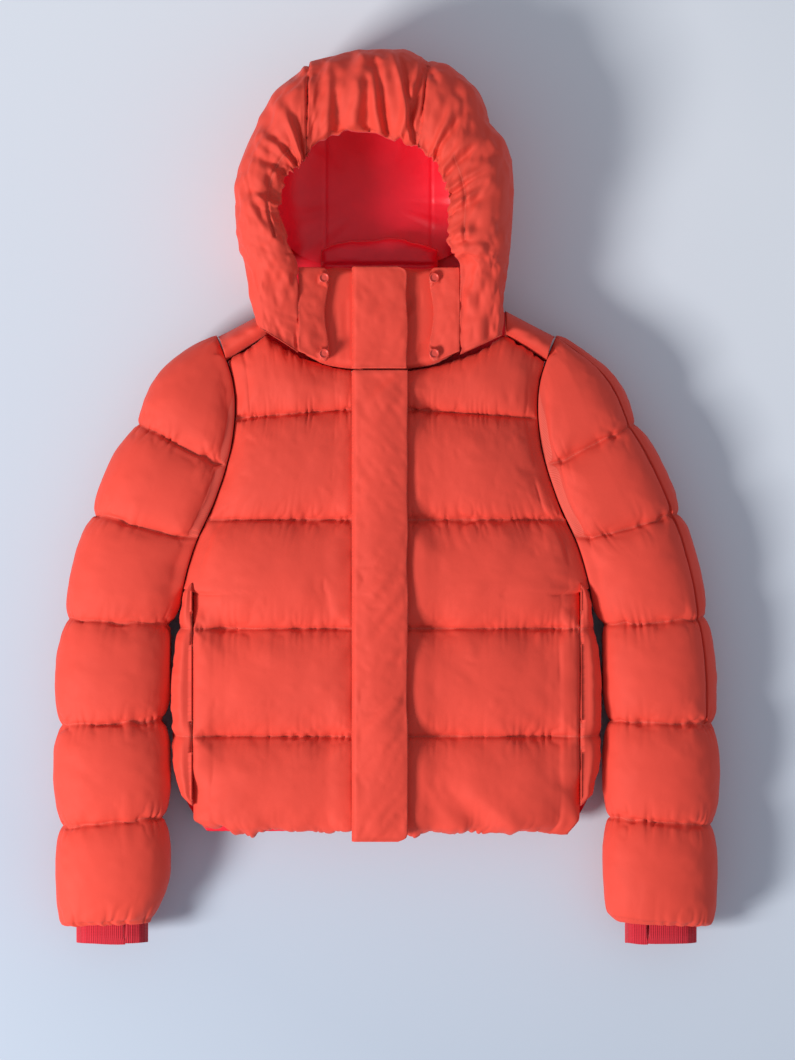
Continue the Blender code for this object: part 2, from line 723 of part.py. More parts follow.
def hood_neck(side, label):
    """Lower side of the hood, wrapped round the collar down to the back."""
    hinge, _ = tab_edges(side)
    outer = HOOD_X + side * HOOD_HALF_WIDTH
    seam = hinge + side * SEAM_GAP
    outline = [
        (seam, COLLAR_TOP_Y),
        (seam, COLLAR_TOP_Y - TAB_TOP_DROP - TAB_LENGTH + 0.014),
        (seam + side * 0.028, COLLAR_TOP_Y - 0.068),
        (seam + side * 0.044, COLLAR_TOP_Y - 0.045),
        (outer - side * 0.006, COLLAR_TOP_Y - 0.022),
        (outer, COLLAR_TOP_Y),
    ]
    bottom = FRONT_TOP + SEAM_GAP
    pad = as_mesh(slab(f"{label}_hood_neck", outline, bottom, bottom + HOOD_NECK_LOFT, 0.002))
    xs = sorted((outer - side * 0.002, outer - side * HOOD_WALL))
    low = (xs[0], NECK_POINT_Y + 0.0065, 0.0)
    high = (xs[1], COLLAR_TOP_Y, bottom + HOOD_NECK_LOFT - 0.006)
    combine(pad, block(f"{label}_hood_neck_wall", low, high), "UNION")
    place(pad, SHELL)


def hood_back_neck():
    """Lower back of the hood, between its two side walls."""
    half = HOOD_HALF_WIDTH - HOOD_WALL - SEAM_GAP
    outline = [
        (HOOD_X - half, BACK_NECK_Y + SEAM_GAP),
        (HOOD_X + half, BACK_NECK_Y + SEAM_GAP),
        (HOOD_X + half, COLLAR_TOP_Y),
        (HOOD_X - half, COLLAR_TOP_Y),
    ]
    place(slab("hood_back_neck", outline, 0.0, HOOD_BACK_LOFT, 0.002), SHELL)


def hood_outline(inset):
    """The hood seen from above: straight sides and a round crown, pulled in by inset."""
    half = HOOD_HALF_WIDTH - inset
    crown = CROWN_Y - inset
    turn = COLLAR_TOP_Y + HOOD_LENGTH * 0.30
    arc = [
        (
            HOOD_X + half * math.copysign(abs(math.cos(a)) ** 0.90, math.cos(a)),
            turn + (crown - turn) * math.sin(a) ** 0.90,
        )
        for a in spread(0.0, math.pi, 19)
    ]
    foot = HOOD_SPLIT_Y - 0.02
    return [(HOOD_X + half - 0.004, foot)] + arc + [(HOOD_X - half + 0.004, foot)]


def opening_outline():
    """The face opening: straight at the jaw, round over the brow."""
    turn = COLLAR_TOP_Y + 0.060
    arc = [
        (OPENING_X + OPENING_HALF_WIDTH * math.cos(a), turn + 0.076 * math.sin(a))
        for a in spread(0.0, math.pi, 15)
    ]
    foot = HOOD_SPLIT_Y - 0.03
    half = OPENING_HALF_WIDTH * 0.93
    return [(OPENING_X + half, foot)] + arc + [(OPENING_X - half, foot)]


def hood_shell():
    """Upper hood: a hollow shell cut into a centre panel and two side panels."""
    cavity_top = HOOD_HEIGHT - HOOD_LIP_LOFT
    cavity = as_mesh(
        slab("hood_cavity", hood_outline(HOOD_WALL), HOOD_BACK_LOFT, cavity_top, 0.008)
    )
    opening = as_mesh(
        slab("hood_opening", opening_outline(), cavity_top - 0.01, HOOD_HEIGHT + 0.02, 0.0)
    )
    reach = CUTTER_REACH
    split = HOOD_SPLIT_Y
    seams = (HOOD_X - 0.066, HOOD_X + 0.060)
    spans = {
        "left_hood_panel": (-reach, seams[0] - SEAM_GAP / 2),
        "centre_hood_panel": (seams[0] + SEAM_GAP / 2, seams[1] - SEAM_GAP / 2),
        "right_hood_panel": (seams[1] + SEAM_GAP / 2, reach),
    }
    for name, (low_x, high_x) in spans.items():
        panel = as_mesh(slab(name, hood_outline(0.0), 0.0, HOOD_HEIGHT, 0.012))
        combine(panel, cavity, "DIFFERENCE")
        combine(panel, opening, "DIFFERENCE")
        span = block(f"{name}_span", (low_x, split, -reach), (high_x, reach * 2, reach))
        combine(panel, span, "INTERSECT")
        place(panel, SHELL)


def hood_lining():
    """Thin lining of the hood's inside, open at the face and at the neck."""
    inset = HOOD_WALL + SEAM_GAP
    top = HOOD_HEIGHT - HOOD_LIP_LOFT - SEAM_GAP
    bottom = HOOD_BACK_LOFT + SEAM_GAP
    bowl = as_mesh(slab("hood_lining", hood_outline(inset), bottom, top, 0.008))
    room = as_mesh(
        slab("hood_lining_room", hood_outline(inset + LINING), bottom + LINING, top + 0.05, 0.006)
    )
    combine(bowl, room, "DIFFERENCE")
    reach = CUTTER_REACH
    split = HOOD_SPLIT_Y
    keep = block("hood_lining_keep", (-reach, split, -reach), (reach, 2 * reach, top - 0.010))
    combine(bowl, keep, "INTERSECT")
    place(bowl, LINING_CLOTH)


def rim_elastic():
    """Elastic cord casing round the face opening, just inside the rim."""
    radius = 0.004
    inside = radius + SEAM_GAP + 0.0005
    turn = COLLAR_TOP_Y + 0.060
    half = OPENING_HALF_WIDTH - inside
    arc = [
        (OPENING_X + half * math.cos(a), turn + (0.076 - inside) * math.sin(a))
        for a in spread(0.0, math.pi, 15)
    ]
    jaw = half - 0.004
    foot = HOOD_SPLIT_Y + 0.002
    route = [(OPENING_X + jaw, foot)] + arc + [(OPENING_X - jaw, foot)]
    curve = bpy.data.curves.new("hood_rim_elastic", "CURVE")
    curve.dimensions = "3D"
    spline = curve.splines.new("POLY")
    spline.points.add(len(route) - 1)
    for point, (x, y) in zip(spline.points, route):
        point.co = (x, y, HOOD_HEIGHT - HOOD_LIP_LOFT / 2, 1.0)
    curve.bevel_depth = radius
    curve.bevel_resolution = 2
    curve.use_fill_caps = True
    place(bpy.data.objects.new("hood_rim_elastic", curve), SHELL)


# --- Sleeves and cuffs ----------------------------------------------------------------------
def sleeve_station(share):
    """(centre, width) of the sleeve at a share of its length, laid beside the body."""
    start_x = ARMHOLE_HALF_WIDTH + 0.006
    start_y = SHOULDER_TIP_Y - 0.052
    beside = BODY_HALF_WIDTH + LAY_GAP + SLEEVE_WIDTH / 2 + 0.001
    drop = share * SLEEVE_LENGTH
    settle = 0.353
    turn = math.sin(math.pi / 2 * min(1.0, drop / settle)) ** 0.8
    centre = (start_x + (beside - start_x) * turn, start_y - drop)
    if drop < ELBOW_DROP:
        width = SLEEVE_TOP_WIDTH + (SLEEVE_WIDTH - SLEEVE_TOP_WIDTH) * drop / ELBOW_DROP
    else:
        rest = (drop - ELBOW_DROP) / (SLEEVE_LENGTH - ELBOW_DROP)
        width = SLEEVE_WIDTH + (SLEEVE_HEM_WIDTH - SLEEVE_WIDTH) * rest**3
    return Vector(centre), width


def section(centre, across, half, height, middle_z):
    """Points of a flattened superellipse standing across the sleeve's line."""
    points = []
    for i in range(SECTION_SIDES):
        angle = 2 * math.pi * i / SECTION_SIDES
        c, s = math.cos(angle), math.sin(angle)
        out = half * math.copysign(abs(c) ** (2 / SECTION_POWER), c)
        up = height / 2 * math.copysign(abs(s) ** (2 / SECTION_POWER), s)
        points.append((centre.x + across.x * out, centre.y + across.y * out, middle_z + up))
    return points


def lofted_tube(name, stations, side):
    """A tube through stations of (centre, across, outer half, outer height, inner half, inner
    height, middle height): outer and inner skins joined at both ends."""
    work = bmesh.new()
    skins = []
    for inner in (False, True):
        rings = []
        for centre, across, half, height, in_half, in_height, middle in stations:
            sizes = (in_half, in_height) if inner else (half, height)
            points = section(centre, across, *sizes, middle)
            rings.append([work.verts.new((side * x, y, z)) for x, y, z in points])
        skins.append(rings)
    for rings in skins:
        for first, second in zip(rings, rings[1:]):
            for i in range(SECTION_SIDES):
                j = (i + 1) % SECTION_SIDES
                work.faces.new((first[i], first[j], second[j], second[i]))
    for end in (0, -1):
        for i in range(SECTION_SIDES):
            j = (i + 1) % SECTION_SIDES
            outer, inner = skins[0][end], skins[1][end]
            work.faces.new((outer[i], outer[j], inner[j], inner[i]))
    bmesh.ops.recalc_face_normals(work, faces=work.faces)
    mesh = bpy.data.meshes.new(name)
    work.to_mesh(mesh)
    work.free()
    return bpy.data.objects.new(name, mesh)


def sleeve_tube(name, side):
    """The whole sleeve, from inside the armhole to its hem."""
    stations = []
    for share in spread(0.0, 1.0, SLEEVE_STATIONS):
        centre, width = sleeve_station(share)
        ahead, _ = sleeve_station(min(1.0, share + 0.02))
        behind, _ = sleeve_station(max(0.0, share - 0.02))
        line = (ahead - behind).normalized()
        across = Vector((-line.y, line.x))
        inner = CUFF_WIDTH / 2 + RUN_GAP
        inner += (width / 2 - SLEEVE_WALL - inner) * (1.0 - share)
        inner_height = CUFF_HEIGHT + 2 * RUN_GAP
        middle = SLEEVE_HEIGHT / 2
        stations.append(
            (centre, across, width / 2, SLEEVE_HEIGHT, inner, inner_height, middle)
        )
    return lofted_tube(name, stations, side)


def elbow_y():
    """Level of the elbow's split."""
    return sleeve_station(0.0)[0].y - ELBOW_DROP


def body_cutter(name, side):
    """The body's silhouette on one side, grown by the gap that the sleeve keeps."""
    grown = [(x + LAY_GAP, y) for x, y in side_points(HEM_Y, SHOULDER_TIP_Y, 30)]
    top = [
        (SHOULDER_HALF_WIDTH - 0.004, SHOULDER_TIP_Y + 0.004),
        (NECK_HALF_WIDTH - 0.006, NECK_POINT_Y + 0.004),
        (0.03, NECK_POINT_Y),
        (0.03, HEM_Y),
    ]
    return as_mesh(slab(name, mirrored(grown + top, side), -0.02, 0.2, 0.0))


def sleeve(side, label):
    """Upper sleeve and forearm, split at the elbow, and the storm cuff."""
    reach = CUTTER_REACH
    split = elbow_y()
    upper = sleeve_tube(f"{label}_upper_sleeve", side)
    combine(upper, body_cutter(f"{label}_armhole_cutter", side), "DIFFERENCE")
    low, high = (-reach, split + RUN_GAP / 2, -reach), (reach, reach, reach)
    combine(upper, block(f"{label}_upper_span", low, high), "INTERSECT")
    place(upper, SHELL)
    forearm = sleeve_tube(f"{label}_forearm_sleeve", side)
    low, high = (-reach, -2 * reach, -reach), (reach, split - RUN_GAP / 2, reach)
    combine(forearm, block(f"{label}_forearm_span", low, high), "INTERSECT")
    xs = sorted((side * 0.03, side * (body_reach() + LAY_GAP)))
    low, high = (xs[0], -2 * reach, -reach), (xs[1], reach, reach)
    combine(forearm, block(f"{label}_flank_cutter", low, high), "DIFFERENCE")
    place(forearm, SHELL)
    storm_cuff(side, label)


def storm_cuff(side, label):
    """Stretch cuff inside the sleeve's end, with a slit for the thumb."""
    end, _ = sleeve_station(1.0)
    stations = []
    for y in spread(end.y + CUFF_TUCKED, end.y - CUFF_SHOWS, 5):
        inner = (CUFF_WIDTH / 2 - CUFF_WALL, CUFF_HEIGHT - 2 * CUFF_WALL)
        sizes = (CUFF_WIDTH / 2, CUFF_HEIGHT, *inner, SLEEVE_HEIGHT / 2)
        stations.append((Vector((end.x, y)), Vector((1.0, 0.0)), *sizes))
    cuff = lofted_tube(f"{label}_storm_cuff", stations, side)
    width, length = THUMB_SLIT
    x = side * (end.x - 0.011)
    low_y = end.y - CUFF_SHOWS + 0.005
    low = (x - width / 2, low_y, SLEEVE_HEIGHT / 2)
    high = (x + width / 2, low_y + length, SLEEVE_HEIGHT)
    combine(cuff, block(f"{label}_thumb_cutter", low, high), "DIFFERENCE")
    place(cuff, CUFF_KNIT)


# --- Pocket zips ----------------------------------------------------------------------------
def pocket_zip(side, label):
    """A pocket's zip: a tape in the slot, with a slider and its pull."""
    low, high = pocket_slot(side)
    low = Vector(low) + Vector((SEAM_GAP, SEAM_GAP, SEAM_GAP))
    tape_low = low
    tape_high = Vector((high[0] - SEAM_GAP, high[1] - SEAM_GAP, low.z + 0.004))
    place(block(f"{label}_pocket_zip", tape_low, tape_high), ZIP_CLOTH)
    middle = (low.x + high[0]) / 2
    slider_low = (middle - 0.0024, tape_high.y - 0.013, tape_high.z + SEAM_GAP)
    slider_high = (middle + 0.0024, tape_high.y - 0.002, tape_high.z + 0.0045)
    slider = block(f"{label}_pocket_slider", slider_low, slider_high)
    pull_low = (middle - 0.0018, tape_high.y - 0.030, tape_high.z + 0.0012)
    pull_high = (middle + 0.0018, tape_high.y - 0.010, tape_high.z + 0.0030)
    combine(slider, block(f"{label}_pocket_pull", pull_low, pull_high), "UNION")
    place(slider, ZIP_METAL)


clear_scene()
JACKET = collection("ski_jacket")
CUTTERS = collection("cutters")
SHELL = material("shell_cloth", SHELL_RED, 0.75)
LINING_CLOTH = material("lining_cloth", LINING_RED, 0.45)
CUFF_KNIT = material("cuff_knit", CUFF_RED, 0.80)
ZIP_CLOTH = material("zip_tape", ZIP_RED, 0.70)
ZIP_METAL = material("zip_hardware", ZIP_RED, 0.40)
SNAP_RED = material("snap_cap", SHELL_RED, 0.45)

back_panel()
back_lining()
for SIDE, LABEL in ((LEFT, "left"), (RIGHT, "right")):
    front_panel(SIDE, LABEL)
    side_panel(SIDE, LABEL)
    shoulder_yoke(SIDE, LABEL)
    collar(SIDE, LABEL)
    zip_tape(SIDE, LABEL)
    hood_tab(SIDE, LABEL)
    hood_neck(SIDE, LABEL)
    sleeve(SIDE, LABEL)
    pocket_zip(SIDE, LABEL)
collar_back()
hanger_loop()
zip_guard()
zip_box()
front_slider()
storm_flap()
flap_snaps()
hood_back_neck()
hood_shell()
hood_lining()
rim_elastic()
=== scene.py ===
"""Padded ski jacket laid on its back: the finish and the cloth of every part.

Every length is in metres. X runs across the jacket, Y runs from the hem to
the crown of the hood, and Z is the height over the floor it lies on.
"""

import enum
import logging
import math
from dataclasses import dataclass
from typing import Optional, Sequence

import bmesh
import bpy
import numpy as np
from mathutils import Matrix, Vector


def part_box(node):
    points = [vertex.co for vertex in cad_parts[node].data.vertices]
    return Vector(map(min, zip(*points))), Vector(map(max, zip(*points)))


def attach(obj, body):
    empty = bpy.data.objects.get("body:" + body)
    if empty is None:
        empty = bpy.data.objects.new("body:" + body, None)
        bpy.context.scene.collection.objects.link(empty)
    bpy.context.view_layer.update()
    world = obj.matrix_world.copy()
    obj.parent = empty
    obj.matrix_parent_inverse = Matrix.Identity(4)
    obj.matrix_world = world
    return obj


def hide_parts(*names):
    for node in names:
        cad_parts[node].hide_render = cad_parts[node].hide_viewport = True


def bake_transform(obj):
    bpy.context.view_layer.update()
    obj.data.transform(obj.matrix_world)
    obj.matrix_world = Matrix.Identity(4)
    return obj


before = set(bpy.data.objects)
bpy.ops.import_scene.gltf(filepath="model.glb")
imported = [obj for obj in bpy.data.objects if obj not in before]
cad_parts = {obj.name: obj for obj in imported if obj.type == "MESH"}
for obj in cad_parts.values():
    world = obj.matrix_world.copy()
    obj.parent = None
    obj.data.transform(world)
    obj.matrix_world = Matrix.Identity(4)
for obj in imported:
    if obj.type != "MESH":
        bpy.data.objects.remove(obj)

log = logging.getLogger("ski_jacket")

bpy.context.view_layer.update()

Array = np.ndarray


class Side(enum.Enum):
    """A half of the jacket, as it is seen from above: LEFT is at -X."""

    LEFT = -1
    RIGHT = 1

    @property
    def label(self) -> str:
        """Word that starts the names of this half's parts."""
        return self.name.lower()


# --- Numbers: curves, noise and grids ----------------------------------------------------


def along(points: Sequence, shares: Array) -> Array:
    """Smooth curve through points, read at shares of its length.

    Each piece between two points is a cubic whose slope at a point is the
    change between that point's neighbours over the length between them.

    Args:
        points: Waypoints in order.
        shares: Places to read, from 0 at the first point to 1 at the last.

    Returns:
        One row for each share.
    """
    knots = np.asarray(points, float)
    chord = np.linalg.norm(np.diff(knots, axis=0), axis=1)
    place = np.concatenate([[0.0], np.cumsum(chord)]) / chord.sum()
    return curve_at(place, knots, shares)


def curve_at(place: Array, knots: Array, at: Array) -> Array:
    """Cubic Hermite curve through knots that stand at given places.

    Args:
        place: Increasing place of each knot.
        knots: Value of each knot, one row each.
        at: Places to read.

    Returns:
        One row for each place read.
    """
    place, knots = np.asarray(place, float), np.asarray(knots, float)
    at = np.clip(np.asarray(at, float), place[0], place[-1])
    slope = np.gradient(knots, place, axis=0)
    i = np.clip(np.searchsorted(place, at, side="right") - 1, 0, len(place) - 2)
    span = place[i + 1] - place[i]
    t = (at - place[i]) / span
    if knots.ndim > 1:
        span, t = span[..., None], t[..., None]
    return (
        (2 * t**3 - 3 * t**2 + 1) * knots[i]
        + (t**3 - 2 * t**2 + t) * span * slope[i]
        + (3 * t**2 - 2 * t**3) * knots[i + 1]
        + (t**3 - t**2) * span * slope[i + 1]
    )


def smooth(low: float, high: float, value: Array) -> Array:
    """Smooth step: 0 below low, 1 above high, 3t² − 2t³ between.

    Args:
        low: Value where the step starts.
        high: Value where it is complete.
        value: Values to ease.

    Returns:
        A share from 0 to 1 for each value.
    """
    t = np.clip((np.asarray(value, float) - low) / (high - low), 0.0, 1.0)
    return t * t * (3 - 2 * t)


def noise(u: Array, v: Array, seed: int) -> Array:
    """Value noise from -1 to 1: random numbers on whole places, eased between.

    Args:
        u: First coordinate, in cells of the noise.
        v: Second coordinate, in cells of the noise.
        seed: Which random table to use.

    Returns:
        The noise at each place.
    """
    table = np.random.default_rng(seed).uniform(-1.0, 1.0, (64, 64))
    iu, iv = np.floor(u).astype(int), np.floor(v).astype(int)
    fu, fv = u - iu, v - iv
    fu, fv = fu * fu * (3 - 2 * fu), fv * fv * (3 - 2 * fv)
    near = table[iu % 64, iv % 64] * (1 - fu) + table[(iu + 1) % 64, iv % 64] * fu
    far = table[iu % 64, (iv + 1) % 64] * (1 - fu) + table[(iu + 1) % 64, (iv + 1) % 64] * fu
    return near * (1 - fv) + far * fv


def normals_of(grid: Array, closed: bool = False) -> Array:
    """Unit normals of a grid: the cross product of its two tangents.

    Args:
        grid: Points, rows by columns by 3.
        closed: Whether the last column joins the first.

    Returns:
        A normal for each point.
    """
    if closed:
        wide = np.concatenate([grid[:, -1:], grid, grid[:, :1]], axis=1)
        across = np.gradient(wide, axis=1)[:, 1:-1]
    else:
        across = np.gradient(grid, axis=1)
    down = np.gradient(grid, axis=0)
    normal = np.cross(across, down)
    return normal / np.maximum(np.linalg.norm(normal, axis=2, keepdims=True), 1e-12)


def doubled(grid: Array, axis: int, breaks: Sequence[int] = (), closed: bool = False) -> Array:
    """Puts a line of points halfway between each two lines of a grid.

    A halfway point is nine sixteenths of the two beside it less one
    sixteenth of the two beyond. At an end, or at a break, the point beyond
    is the mirror of the point before it, which leaves a crease.

    Args:
        grid: Points, or one value for each point.
        axis: 0 for more rows, 1 for more columns.
        breaks: Lines that stay creased.
        closed: Whether the last line joins the first.

    Returns:
        The finer grid.
    """
    g = np.moveaxis(grid, axis, 0)
    if closed:
        g = np.concatenate([g, g[:1]])
    before = np.concatenate([(2 * g[0] - g[1])[None], g[:-2]])
    after = np.concatenate([g[2:], (2 * g[-1] - g[-2])[None]])
    if closed:
        before[0], after[-1] = g[-2], g[1]
    inner = np.array([b for b in breaks if 0 < b < len(g) - 1], int)
    before[inner] = 2 * g[inner] - g[inner + 1]
    after[inner - 1] = 2 * g[inner] - g[inner - 1]
    middle = (9 * (g[:-1] + g[1:]) - before - after) / 16
    fine = np.empty((2 * len(g) - 1,) + g.shape[1:])
    fine[0::2], fine[1::2] = g, middle
    if closed:
        fine = fine[:-1]
    return np.moveaxis(fine, 0, axis)


def distance_to(points: Array, seeds: Array) -> Array:
    """Distance from each point to the nearest seed, in metres.

    Args:
        points: Points, any shape by 3.
        seeds: Points to measure to.

    Returns:
        One distance for each point.
    """
    flat = points.reshape(-1, 3).astype(np.float32)
    seeds = seeds.reshape(-1, 3).astype(np.float32)
    found = [
        np.sqrt(((part[:, None] - seeds[None]) ** 2).sum(2).min(1))
        for part in np.array_split(flat, max(1, len(flat) * len(seeds) // 4_000_000))
    ]
    return np.concatenate(found).reshape(points.shape[:-1]).astype(float)


# --- Cloth --------------------------------------------------------------------------------


@dataclass(frozen=True)
class Loft:
    """How a padded cloth swells between its stitch lines."""

    pressure: float = 14.0
    spare: float = 0.04
    seam_spare: float = 0.06
    seam_reach: float = 0.012
    cap: float = 0.022
    frames: int = 20
    crumple: float = 0.0007
    bending: float = 2.5
    dome: float = 0.0


def swell(
    grid: Array, pinned: Array, loft: Loft, seed: int, closed: bool = False, slack: Optional[Array] = None
) -> Array:
    """Inflates a sewn cloth with Blender's Cloth and returns where it comes to rest.

    The pinned points are the stitches. The rest of the cloth is cut a little larger
    than its outline, most of all near the stitches, and pressure lifts it along its
    normals.

    Args:
        grid: Points at the start, rows by columns by 3, normals along the swelling.
        pinned: True where a point is held.
        loft: How the cloth swells.
        seed: Which crumple the cloth starts from.
        closed: Whether the last column joins the first.
        slack: Spare cloth to add at each point, as a share of its length.

    Returns:
        Points at rest, as many as came in.
    """
    gap = distance_to(grid, grid[pinned])
    normal = normals_of(grid, closed)
    free = (~pinned)[..., None]
    rows, cols = pinned.shape
    i, j = np.arange(rows)[:, None] / 5.0, np.arange(cols)[None] / 5.0
    if closed:
        j = j * round(cols / 5.0) / (cols / 5.0)
    crumple = loft.crumple * (noise(i, j, seed) + 0.5 * noise(i * 2.1, j * 2.1, seed + 1))
    crumple = crumple + loft.dome * loft.cap * (1 - np.exp(-gap / 0.018))
    start = grid + normal * crumple[..., None] * free
    spare = loft.spare + loft.seam_spare * np.exp(-gap / loft.seam_reach)
    if slack is not None:
        spare = spare + slack
    most = float(spare.max())
    mesh = bpy.data.meshes.new("cloth_work")
    mesh.from_pydata(start.reshape(-1, 3).tolist(), [], quads(rows, cols, closed).tolist())
    work = bpy.data.objects.new("cloth_work", mesh)
    bpy.context.scene.collection.objects.link(work)
    held = work.vertex_groups.new(name="held")
    held.add(np.flatnonzero(pinned).tolist(), 1.0, "REPLACE")
    loose = work.vertex_groups.new(name="loose")
    levels = np.round(spare.ravel() / most * 24).astype(int)
    for level in np.unique(levels).tolist():
        loose.add(np.flatnonzero(levels == level).tolist(), level / 24, "REPLACE")
    modifier = work.modifiers.new("Cloth", "CLOTH")
    cloth = modifier.settings
    cloth.quality = 5
    cloth.mass = 0.3
    cloth.air_damping = 1.0
    cloth.tension_stiffness = cloth.compression_stiffness = 15
    cloth.shear_stiffness = 7.5
    cloth.bending_stiffness = loft.bending
    cloth.tension_damping = cloth.compression_damping = cloth.shear_damping = 5
    cloth.bending_damping = 0.5
    cloth.vertex_group_mass = "held"
    cloth.pin_stiffness = 1.0
    cloth.vertex_group_shrink = "loose"
    cloth.shrink_min, cloth.shrink_max = 0.0, -most
    cloth.use_pressure = True
    cloth.uniform_pressure_force = loft.pressure
    cloth.effector_weights.gravity = 0.0
    modifier.collision_settings.use_collision = False
    modifier.collision_settings.use_self_collision = False
    modifier.point_cache.frame_start = 1
    modifier.point_cache.frame_end = loft.frames + 2
    scene = bpy.context.scene
    for moment in range(1, loft.frames + 1):
        scene.frame_set(moment)
    done = work.evaluated_get(bpy.context.evaluated_depsgraph_get())
    rest = np.empty(rows * cols * 3, np.float32)
    done.data.vertices.foreach_get("co", rest)
    rest = rest.reshape(rows, cols, 3).astype(float)
    work.modifiers.remove(modifier)
    scene.frame_set(1)
    bpy.data.objects.remove(work)
    bpy.data.meshes.remove(mesh)
    move = rest - grid
    far = np.maximum(np.linalg.norm(move, axis=2, keepdims=True), 1e-9)
    return grid + move / far * (loft.cap * np.tanh(far / loft.cap)) * free


def quads(rows: int, cols: int, closed: bool = False) -> Array:
    """Corners of every cell of a grid, by the number of each point.

    Args:
        rows: Rows of points.
        cols: Columns of points.
        closed: Whether the last column joins the first.

    Returns:
        Four point numbers for each cell.
    """
    index = np.arange(rows * cols).reshape(rows, cols)
    if closed:
        index = np.concatenate([index, index[:, :1]], axis=1)
    cells = [index[:-1, :-1], index[:-1, 1:], index[1:, 1:], index[1:, :-1]]
    return np.stack(cells, axis=-1).reshape(-1, 4)


def puckered(
    grid: Array,
    marks: Sequence[int],
    axis: int,
    seed: int,
    depth: float = 0.0032,
    reach: float = 0.009,
    pitch: float = 0.0065,
    closed: bool = False,
) -> Array:
    """Adds the short gathers that stand across a stitch line.

    A gather is a narrow valley. Its depth falls with the exponential of the
    distance to the stitch line, and it lies where a noise along the line
    crosses zero: the cube of one less the noise's size.

    Args:
        grid: Points, rows by columns by 3.
        marks: Lines of the grid that are stitched.
        axis: 0 if the stitched lines are rows, 1 if they are columns.
        seed: Which noise to use.
        depth: Depth of a gather at the stitches.
        reach: Length over which a gather fades.
        pitch: Size of the noise along the line.
        closed: Whether the last column joins the first.

    Returns:
        The gathered points.
    """
    g = np.moveaxis(grid, axis, 0)
    step = np.linalg.norm(np.diff(g, axis=0), axis=2)
    down = np.concatenate([np.zeros((1, g.shape[1])), np.cumsum(step, 0)])
    step = np.linalg.norm(np.diff(g, axis=1), axis=2).mean(0)
    run = np.concatenate([[0.0], np.cumsum(step)])[None]
    away = np.abs(down[None] - down[list(marks)][:, None])
    nearest = away.argmin(0)
    away = away.min(0)
    wave = noise(run / pitch + nearest * 7.3, away / 0.022 + nearest * 3.1, seed)
    strong = 0.55 + 0.45 * noise(run / 0.028 + nearest * 5.1, away / 0.05, seed + 1)
    valley = depth * strong * np.exp(-away / reach) * (1 - np.abs(wave)) ** 3
    if closed and axis == 0:
        turn = np.arange(g.shape[1]) / g.shape[1]
        valley = valley * np.clip(np.minimum(turn, 1 - turn) / 0.02, 0, 1)[None]
    valley = np.moveaxis(valley, 0, axis)
    return grid - normals_of(grid, closed) * valley[..., None]


